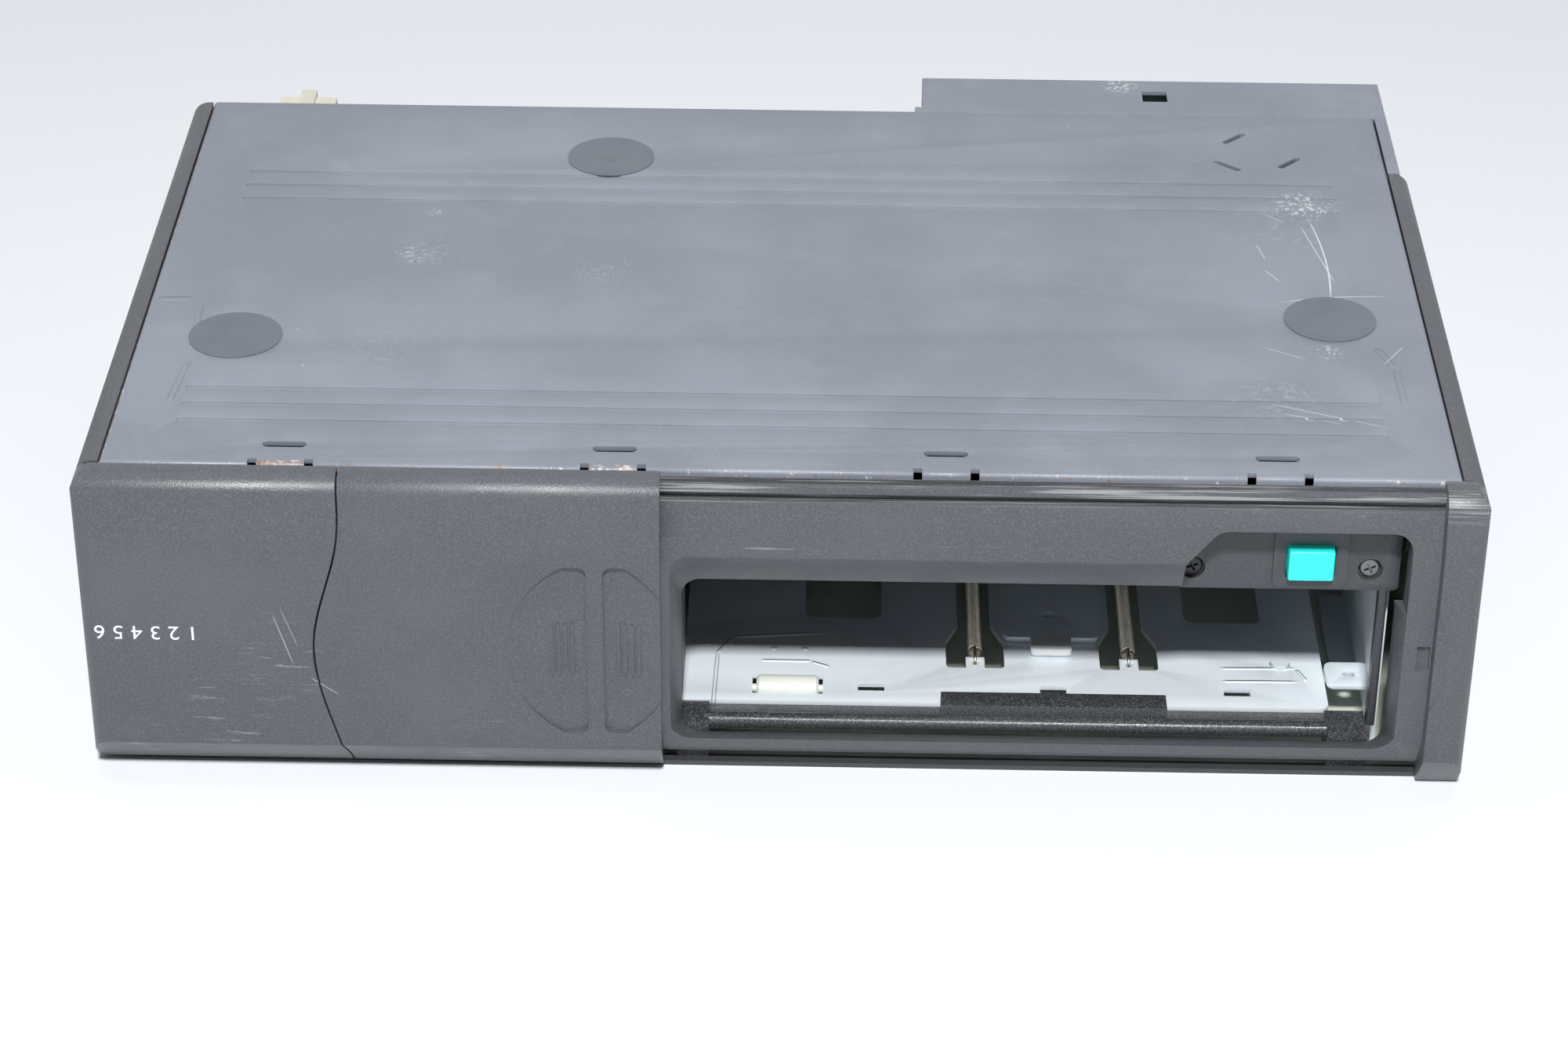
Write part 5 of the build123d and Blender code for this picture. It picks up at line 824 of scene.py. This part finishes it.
    def tray_coat(self) -> bpy.types.Material:
        """Pale coat on the tray, with painted shade: near black along its front edge, which lies in shade
        under the frame.

        Returns:
            The finished material.
        """
        graph = Graph("tray_coat")
        # painted shade: a near-black strip along the tray's front edge stands in for the shade under the
        # frame
        painted_shade_lip = graph.band(graph.axis(Axis.Y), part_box("lower_cover")[0].y, 2.2 * MM, 0.4 * MM)
        graph.set("Base Color", graph.mix(painted_shade_lip, (0.66, 0.70, 0.62), (0.05, 0.052, 0.056)))
        graph.set("Roughness", 0.42)
        return graph.material

    def build(self) -> None:
        """Dresses the covers and models the seals."""
        plate = Paint("plate_paint").build(**self.wear())
        finer_copy("upper_cover", 0.2 * MM, plate)
        finer_copy("rear_box", self.edge, Paint("box_paint").build(self.box_wear()))
        tray = self.tray_coat()
        for node in ("lower_cover", "left_side_plate", "right_side_plate"):
            dress(node, tray)
        side = Plastic("side_plastic", (0.075, 0.078, 0.085), rough=0.46).build()
        for node in ("left_side_cover", "right_side_cover"):
            finer_copy(node, self.edge, side)
        dress("cable_socket", Smooth("cream_plastic", (0.74, 0.72, 0.60), 0.4).build())
        dress("rear_socket", Smooth("socket_plastic", (0.02, 0.02, 0.022), 0.4).build())
        dress("main_board", Smooth("board_lacquer", (0.01, 0.12, 0.07), 0.25, coat=0.6).build())
        dress("mount_nuts", Metal("nut_steel", (0.55, 0.54, 0.5), (0.4, 0.38, 0.33)).build())
        self.seals()
        LOG.info("case dressed")

    def seals(self) -> None:
        """Three thin stickers that sag a little into the holes under them."""
        finish = Smooth("seal_film", (0.125, 0.140, 0.165), 0.30, coat=0.15).build()
        top = CAD_BOX[1].z
        for index, (x, back) in enumerate(self.seal_spots):
            place = (x * MM, PLATE_FRONT_Y + back * MM, PLATE_TOP)
            bpy.ops.mesh.primitive_circle_add(vertices=64, radius=self.seal_radius, fill_type="NGON",
                                              location=place)
            piece = bpy.context.object
            pick(piece)
            bpy.ops.object.mode_set(mode="EDIT")
            bpy.ops.mesh.select_all(action="SELECT")
            bpy.ops.mesh.extrude_region_move(TRANSFORM_OT_translate={"value": (0, 0, top - PLATE_TOP)})
            for inset, drop in self.seal_steps:
                bpy.ops.mesh.inset(thickness=inset * MM, depth=0)
                bpy.ops.transform.translate(value=(0, 0, drop * self.seal_sag * MM))
            bpy.ops.mesh.select_all(action="SELECT")
            bpy.ops.mesh.normals_make_consistent(inside=False)
            bpy.ops.object.mode_set(mode="OBJECT")
            bpy.ops.object.shade_smooth_by_angle(angle=math.radians(40))
            settle(piece, f"seal_{index + 1}", finish)
            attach(piece, "case")
            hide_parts("hole_seals")


@dataclass
class Front:
    """Moulded front: left panel, both door leaves, frame, bracket, button and number print."""

    edge: float = 0.22 * MM
    print_text: str = "1 2 3 4 5 6"
    print_size: Pair = (18.2 * MM, 2.9 * MM)
    print_centre: Point = (-115.8 * MM, 0.0, 33.15 * MM)
    print_depth: float = 0.02 * MM
    type_scale: float = 1.4
    scratches: Rows = (
        (-92.2, 38.0, -88.6, 26.0, 0.12), (-90.6, 39.0, -87.6, 30.0, 0.08), (-86.0, 24.0, -80.5, 20.0, 0.12),
    )
    scuffs: Rows = (
        (-92.0, 27.0, 13.0), (-100.0, 16.0, 14.0), (-118.0, 8.0, 8.0), (-55.0, 8.0, 12.0),
    )

    def panel_wear(self) -> list[Mark]:
        """Scratches and scuffs on the left panel and the door.

        Returns:
            The marks.
        """
        marks = [line_mark(row[:4], row[4], axes=FRONT_AXES) for row in self.scratches]
        for x, z, radius in self.scuffs:
            ragged = grain_mark(1.2, 0.56, 0.66, (0.0, 0.6), 5.0, 0.75, (9.0, 1.0, 1.0), x * MM)
            marks.append(patch_mark((x, z), radius, ragged, axes=FRONT_AXES))
        return marks

    def rail_wear(self) -> list[Mark]:
        """Rubbed stripes along the frame's rails, left by the sliding door.

        Returns:
            The marks of the upper and the lower stripe.
        """
        upper = grain_mark(0.5, 0.50, 0.64, rough=0.6, stretch=(60.0, 1.0, 1.0))
        lower = grain_mark(0.7, 0.6, 0.72, rough=0.6, stretch=(30.0, 1.0, 1.0), shift=0.2)
        return [strip_mark(Axis.Z, 62.6 * MM, 2.0, 1.2, upper, 0.8),
                strip_mark(Axis.Z, 50.0 * MM, 1.2, 1.2, lower, 0.5)]

    def build(self) -> None:
        """Dresses the front and adds the print."""
        grained = Plastic("front_plastic", (0.074, 0.080, 0.091))
        panel = grained.build(self.panel_wear())
        for node in ("left_front_panel", "outer_door"):
            finer_copy(node, self.edge, panel)
        railed = Plastic("frame_plastic", (0.074, 0.078, 0.087)).build(self.rail_wear())
        finer_copy("front_frame", 0.3 * MM, railed)
        dress("inner_door", grained.build())
        bracket = Plastic("bracket_plastic", (0.050, 0.053, 0.060), light=(0.12, 0.125, 0.135), rough=0.42)
        finer_copy("eject_bracket", 0.15 * MM, bracket.build())
        # the button's glow is painted light: it shines, though it is no lamp
        button = Smooth("button_plastic", (0.02, 0.78, 0.70), 0.3, 0.04, coat=0.3, painted_glow=0.12)
        finer_copy("eject_button", 0.12 * MM, button.build())
        dress("button_spring", Metal("spring_steel", (0.5, 0.5, 0.5), (0.4, 0.4, 0.4)).build())
        self.numbers()
        LOG.info("front dressed")

    def numbers(self) -> None:
        """A row of plain white numbers, standing on its head as the unit does."""
        x, _, z = self.print_centre
        turned = (math.radians(90), math.radians(180), 0)
        bpy.ops.object.text_add(location=(x, FRONT_Y, z), rotation=turned)
        text = bpy.context.object
        text.data.body = self.print_text
        text.data.size = self.print_size[1] * self.type_scale
        text.data.align_x = "CENTER"
        text.data.align_y = "CENTER"
        text.data.extrude = self.print_depth
        pick(text)
        bpy.ops.object.convert(target="MESH")
        ink = Smooth("white_print", WHITE_PRINT, 0.5, 0.05).build()
        piece = settle(bpy.context.object, "front_numbers", ink)
        across = [vertex.co.x for vertex in piece.data.vertices]
        upward = [vertex.co.z for vertex in piece.data.vertices]
        wide, tall = max(across) - min(across), max(upward) - min(upward)
        middle = ((max(across) + min(across)) / 2, FRONT_Y, (max(upward) + min(upward)) / 2)
        fit = (self.print_size[0] / wide, 1.0, self.print_size[1] / tall)
        pick(piece)
        bpy.ops.object.mode_set(mode="EDIT")
        bpy.ops.mesh.select_all(action="SELECT")
        bpy.ops.transform.resize(value=fit, center_override=middle)
        bpy.ops.transform.translate(value=(x - middle[0], 0.0, z - middle[2]))
        bpy.ops.object.mode_set(mode="OBJECT")
        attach(piece, "case")


@dataclass
class Bay:
    """The magazine bay: floor plate, springs, slider, roller, guides and roof."""

    edge: float = 0.12 * MM
    wire: float = 0.3 * MM
    coil: float = 1.25 * MM
    lead: float = 2.4 * MM
    hook: float = 1.2 * MM
    eye_drop: float = 0.3 * MM
    turn_gap: float = 1.06
    turn_steps: int = 16
    wire_sides: int = 8
    hook_steps: int = 14
    hook_arc: Pair = (1.15, 0.65)
    spring_x: tuple[float, ...] = (37.5 * MM, 67.0 * MM)
    outline: Rows = (
        (-12.4, -74.0, -12.0, -53.0), (-12.2, -54.5, -9.0, -48.4), (-9.8, -48.6, 9.0, -46.6),
        (-4.0, -56.6, 6.6, -56.6), (6.0, -56.8, 9.6, -58.6), (84.0, -57.0, 99.6, -56.6),
        (84.0, -61.4, 99.6, -61.2), (99.0, -57.0, 100.6, -61.0),
    )
    outline_width: float = 0.5
    bosses: tuple[Pair, ...] = ((-1.2, -52.4), (4.8, -52.4))
    boss_radius: float = 0.9

    def presses(self) -> list[Mark]:
        """Outlines and small bosses pressed into the floor plate."""
        lines = [line_mark(ends, self.outline_width) for ends in self.outline]
        return lines + [patch_mark(place, self.boss_radius, lambda graph: 1.0) for place in self.bosses]

    def springs(self) -> None:
        """Two close-wound tension springs that stretch as the slider moves."""
        steel = Metal("spring_wire", (0.66, 0.60, 0.49), (0.42, 0.37, 0.29), 0.28).build()
        for node, x in zip(("left_ejector_spring", "right_ejector_spring"), self.spring_x):
            low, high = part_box(node)
            thick = self.wire + self.hook
            front, rear = low.y + thick, high.y - thick
            axis = low.z + thick + self.eye_drop
            start, end = (x, front + self.lead, axis), (x, rear - self.lead, axis)
            pieces = [self.coil_of(start, end),
                      self.hook_of((x, front, axis - self.eye_drop), start, -1.0),
                      self.hook_of((x, rear, high.z - thick), end, 1.0)]
            deselect()
            for piece in pieces:
                piece.select_set(True)
            bpy.context.view_layer.objects.active = pieces[0]
            bpy.ops.object.join()
            spring = settle(bpy.context.object, node + "_wire", steel)
            bpy.ops.object.shade_smooth_by_angle(angle=math.radians(60))
            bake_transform(spring, "case", "ejector", start=start, end=end)
            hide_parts(node)
        LOG.info("springs wound")

    def coil_of(self, start: Point, end: Point) -> bpy.types.Object:
        """Winds a round wire between two places along Y.

        Args:
            start: the coil's front end, on its axis.
            end: its rear end.

        Returns:
            The coil as a mesh.
        """
        deselect()
        bpy.ops.mesh.primitive_circle_add(vertices=self.wire_sides, radius=self.wire, location=start)
        piece = bpy.context.object
        bpy.ops.object.mode_set(mode="EDIT")
        bpy.ops.mesh.select_all(action="SELECT")
        bpy.ops.transform.rotate(value=math.pi / 2, orient_axis="Y", center_override=start)
        bpy.ops.transform.translate(value=(0, 0, self.coil))
        bpy.ops.object.mode_set(mode="OBJECT")
        turns = round((end[1] - start[1]) / (2.0 * self.wire * self.turn_gap))
        screw = piece.modifiers.new("winding", "SCREW")
        screw.axis = "Y"
        screw.angle = 2.0 * math.pi
        screw.screw_offset = (end[1] - start[1]) / turns
        screw.iterations = turns
        screw.steps = screw.render_steps = self.turn_steps
        apply_modifiers(piece)
        bpy.ops.object.mode_set(mode="EDIT")
        bpy.ops.mesh.select_all(action="SELECT")
        bpy.ops.mesh.normals_make_consistent(inside=False)
        bpy.ops.object.mode_set(mode="OBJECT")
        return piece

    def hook_of(self, eye: Point, joint: Point, way: float) -> bpy.types.Object:
        """The open hook at one end, with the straight piece that leads into the coil.

        Args:
            eye: the hook's centre.
            joint: where the coil ends, on its axis.
            way: -1 at the front end and 1 at the rear one.

        Returns:
            The hook as a mesh.
        """
        sweep, lead_in = self.hook_arc
        points = []
        for index in range(self.hook_steps + 1):
            angle = math.pi * (index / self.hook_steps * sweep - lead_in)
            points.append((eye[0], eye[1] + way * self.hook * math.cos(angle),
                           eye[2] + self.hook * math.sin(angle)))
        points.append((joint[0], joint[1], joint[2] + self.coil))
        deselect()
        bpy.ops.curve.primitive_nurbs_path_add(location=(0, 0, 0))
        path = bpy.context.object
        path.data.splines.clear()
        spline = path.data.splines.new("POLY")
        spline.points.add(len(points) - 1)
        for point, place in zip(spline.points, points):
            point.co = (*place, 1.0)
        path.data.bevel_depth = self.wire
        path.data.bevel_resolution = 2
        path.data.use_fill_caps = True
        bpy.ops.object.convert(target="MESH")
        return bpy.context.object

    def build(self) -> None:
        """Dresses the bay and winds its springs."""
        self.springs()
        zinc = Metal("zinc_plate", (0.84, 0.91, 0.96), (0.79, 0.86, 0.91), 0.42, 0.15)
        plate = zinc.build(self.presses())
        for node in ("floor_plate", "ejector_slider", "side_guide"):
            finer_copy(node, self.edge, plate)
        # painted shade: the roof is near black so that the inside of the bay reads as deep shade
        roof = Metal("bay_steel_painted_shade", (0.10, 0.11, 0.12), (0.08, 0.088, 0.095), 0.5, 0.1)
        finer_copy("bay_roof", self.edge, roof.build())
        finer_copy("slider_shoe", 0.2 * MM, Smooth("white_plastic", (0.88, 0.89, 0.89), 0.45).build())
        roller = Smooth("roller_plastic", (0.76, 0.80, 0.72), 0.3, coat=0.2)
        finer_copy("floor_roller", 0.0, roller.build(), 40.0)
        bar = Plastic("bar_plastic", (0.030, 0.033, 0.038), light=(0.22, 0.23, 0.24), rough=0.28, dust=0.5)
        finer_copy("guide_bar", 0.3 * MM, bar.build())
        dress("dampers", Smooth("damper_rubber", (0.70, 0.77, 0.81), 0.6).build())
        dress("magazine_latch", Metal("latch_steel", (0.6, 0.6, 0.6), (0.5, 0.5, 0.5)).build())
        LOG.info("bay dressed")


@dataclass
class Player:
    """The lifting player behind the left panel."""

    steel_nodes: tuple[str, ...] = (
        "player_deck", "spindle_motor", "sled_motor", "clamp_arm", "lift_cam_plate", "cam_rivets",
        "lift_motor", "lead_screw", "guide_rods",
    )
    dark_nodes: tuple[str, ...] = ("turntable", "pickup_sled", "rod_holders")

    def build(self) -> None:
        """Dresses the player."""
        steel = Metal("deck_steel", (0.62, 0.62, 0.60), (0.52, 0.50, 0.46)).build()
        for node in self.steel_nodes:
            dress(node, steel)
        dark = Smooth("player_plastic", (0.03, 0.03, 0.034), 0.4).build()
        for node in self.dark_nodes:
            dress(node, dark)
        dress("clamp_puck", Smooth("puck_plastic", (0.8, 0.8, 0.78), 0.35).build())
        dress("pickup_lens", Smooth("lens_glass", (0.35, 0.3, 0.6), 0.05, transmission=0.8).build())
        LOG.info("player dressed")


@dataclass
class Fasteners:
    """Screws, each with a pan head and a cross recess."""

    small: Pair = (1.95 * MM, 1.2 * MM)
    large: Pair = (2.7 * MM, 1.5 * MM)
    bracket_spots: tuple[Pair, ...] = ((75.7, 43.8), (108.2, 43.8))
    rear_spots: tuple[Pair, ...] = ((-116.0, 12.0), (-60.0, 54.0), (0.0, 12.0))
    box_spots: tuple[Pair, ...] = ((79.1, 20.0), (79.1, 50.0))
    shank: float = 5.0 * MM
    rim: float = 0.42
    recess: Point = (1.15, 0.22, 1.1)
    recess_turn: float = 0.4

    def build(self) -> None:
        """Models every screw head at its seat."""
        dark = Metal("screw_black", (0.05, 0.05, 0.052), (0.03, 0.03, 0.03), 0.4, 0.6).build()
        worn = Metal("screw_worn", (0.22, 0.22, 0.22), (0.07, 0.07, 0.07), 0.34).build()
        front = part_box("bracket_screws")[0].y + self.small[1]
        for index, ((x, z), steel) in enumerate(zip(self.bracket_spots, (dark, worn))):
            self.head(f"bracket_screw_{index + 1}", (x * MM, front, z * MM), (90.0, 0.0), self.small, steel,
                      "bracket_screws")
        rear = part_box("cover_screws")[0].y + self.shank
        for index, (x, z) in enumerate(self.rear_spots):
            self.head(f"rear_screw_{index + 1}", (x * MM, rear, z * MM), (-90.0, 0.0), self.large, dark,
                      "cover_screws")
        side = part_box("cover_screws")[1].x - self.large[1]
        for index, (y, z) in enumerate(self.box_spots):
            self.head(f"box_screw_{index + 1}", (side, y * MM, z * MM), (0.0, 90.0), self.large, dark,
                      "cover_screws")
        LOG.info("screws modelled")

    def head(self, name: str, seat: Point, lean: Pair, size: Pair,
             steel: bpy.types.Material, node: str) -> None:
        """One screw head: a rounded disc with a cross cut into it.

        Args:
            name: the piece's name.
            seat: centre of the face that the head sits on.
            lean: turns about X and Y, in degrees, that point it outwards.
            size: radius and height.
            steel: its finish.
            node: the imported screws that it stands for.
        """
        radius, height = size
        deselect()
        bpy.ops.mesh.primitive_cylinder_add(vertices=40, radius=radius, depth=height,
                                            location=(0, 0, height / 2))
        piece = bpy.context.object
        rim = piece.modifiers.new("rim", "BEVEL")
        rim.width = height * self.rim
        rim.segments = 4
        rim.limit_method = "ANGLE"
        apply_modifiers(piece)
        for turn in (0.0, math.pi / 2):
            deselect()
            bpy.ops.mesh.primitive_cube_add(size=1.0, location=(0, 0, height),
                                            rotation=(0, 0, turn + self.recess_turn))
            blade = bpy.context.object
            blade.scale = (radius * self.recess[0], radius * self.recess[1], height * self.recess[2])
            cut = piece.modifiers.new("recess", "BOOLEAN")
            cut.operation = "DIFFERENCE"
            cut.object = blade
            cut.solver = "EXACT"
            bpy.context.view_layer.update()
            apply_modifiers(piece)
            bpy.data.objects.remove(blade)
        piece.rotation_euler = (math.radians(lean[0]), math.radians(lean[1]), 0.0)
        piece.location = seat
        settle(piece, name, steel)
        bpy.ops.object.shade_smooth_by_angle(angle=math.radians(35))
        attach(piece, "case")
        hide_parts(node)


# ---------------------------------------------------------------- stage


@dataclass
class Stage:
    """Pale table, soft lamps and the camera."""

    lens: float = 90.68
    camera_place: Point = (9.4 * MM, -689.3 * MM, 428.8 * MM)
    pitch: float = 31.576
    yaw: float = 0.80
    roll: float = 0.45
    sensor: float = 36.0
    table: Colour = (0.895, 0.925, 0.965)
    table_size: float = 12.0
    table_cloud: float = 0.985
    ambient: Colour = (0.07, 0.073, 0.078)
    backdrop: Colour = (0.87, 0.90, 0.96)
    aim: Point = (0, 0, 0.03)
    lamps: tuple[tuple[str, Point, Pair, float], ...] = (
        ("key", (0.02, -1.05, 1.30), (0.15, 0.13), 31.0),
        ("overhead", (0.0, 0.45, 1.5), (1.6, 1.2), 4.0),
        ("left_fill", (-1.4, -0.3, 0.7), (0.8, 0.8), 0.3),
        ("right_fill", (1.4, -0.3, 0.7), (0.8, 0.8), 0.3),
    )

    def build(self) -> None:
        """Sets the floor, world, lamps and camera."""
        self.floor()
        self.world()
        for name, place, size, power in self.lamps:
            self.lamp(name, place, size, power)
        self.camera()
        bpy.context.scene.view_settings.view_transform = "Standard"
        LOG.info("stage set")

    def floor(self) -> None:
        """A wide pale table that the camera sees as nearly white, and that keeps the shadow."""
        bpy.ops.mesh.primitive_plane_add(size=self.table_size, location=(0, 0, 0))
        piece = bpy.context.object
        piece.name = "table"
        graph = Graph("table_white")
        cloud = graph.noise(0.5, 2.0, 0.5)
        graph.set("Base Color", graph.mix(cloud, self.table, tuple(c * self.table_cloud for c in self.table)))
        graph.set("Roughness", 0.75)
        graph.set("Specular IOR Level", 0.1)
        piece.data.materials.append(graph.material)

    def world(self) -> None:
        """White to the camera, to gloss and through glass, and a plain grey light otherwise."""
        world = bpy.data.worlds.new("surround")
        bpy.context.scene.world = world
        world.use_nodes = True
        nodes, links = world.node_tree.nodes, world.node_tree.links
        background = nodes["Background"]
        rays = nodes.new("ShaderNodeLightPath")
        seen = rays.outputs["Is Camera Ray"]
        for name in ("Is Transmission Ray", "Is Glossy Ray"):
            node = nodes.new("ShaderNodeMath")
            node.operation = "MAXIMUM"
            links.new(seen, node.inputs[0])
            links.new(rays.outputs[name], node.inputs[1])
            seen = node.outputs[0]
        mix = nodes.new("ShaderNodeMix")
        mix.data_type = "RGBA"
        links.new(seen, mix.inputs["Factor"])
        colours = [s for s in mix.inputs if s.type == "RGBA"]
        colours[0].default_value = (*self.ambient, 1.0)
        colours[1].default_value = (*self.backdrop, 1.0)
        links.new(next(s for s in mix.outputs if s.type == "RGBA"), background.inputs["Color"])
        background.inputs["Strength"].default_value = 1.0

    def lamp(self, name: str, place: Point, size: Pair, power: float) -> None:
        """One soft rectangular lamp that faces the object.

        Args:
            name: the lamp's name.
            place: where it stands, in metres.
            size: its width and height.
            power: its power, in watts.
        """
        data = bpy.data.lights.new(name, "AREA")
        data.shape = "RECTANGLE"
        data.size, data.size_y = size
        data.energy = power
        lamp = bpy.data.objects.new(name, data)
        bpy.context.scene.collection.objects.link(lamp)
        lamp.location = place
        lamp.rotation_euler = (Vector(self.aim) - Vector(place)).to_track_quat("-Z", "Y").to_euler()

    def camera(self) -> None:
        """The camera at the photograph's place and angle."""
        data = bpy.data.cameras.new("camera")
        data.lens = self.lens
        data.sensor_width = self.sensor
        camera = bpy.data.objects.new("camera", data)
        bpy.context.scene.collection.objects.link(camera)
        camera.location = self.camera_place
        turn = Euler((math.radians(90 - self.pitch), 0, math.radians(self.yaw)), "XYZ").to_matrix()
        spin = Euler((0, 0, math.radians(self.roll)), "XYZ").to_matrix()
        camera.rotation_euler = (turn @ spin).to_euler()
        bpy.context.scene.camera = camera


def main() -> None:
    """Builds every sub-assembly in order."""
    logging.basicConfig(level=logging.INFO, format="%(name)s: %(message)s")
    for group in (Case(), Front(), Bay(), Player(), Fasteners(), Stage()):
        group.build()


if __name__ == "__main__":
    main()
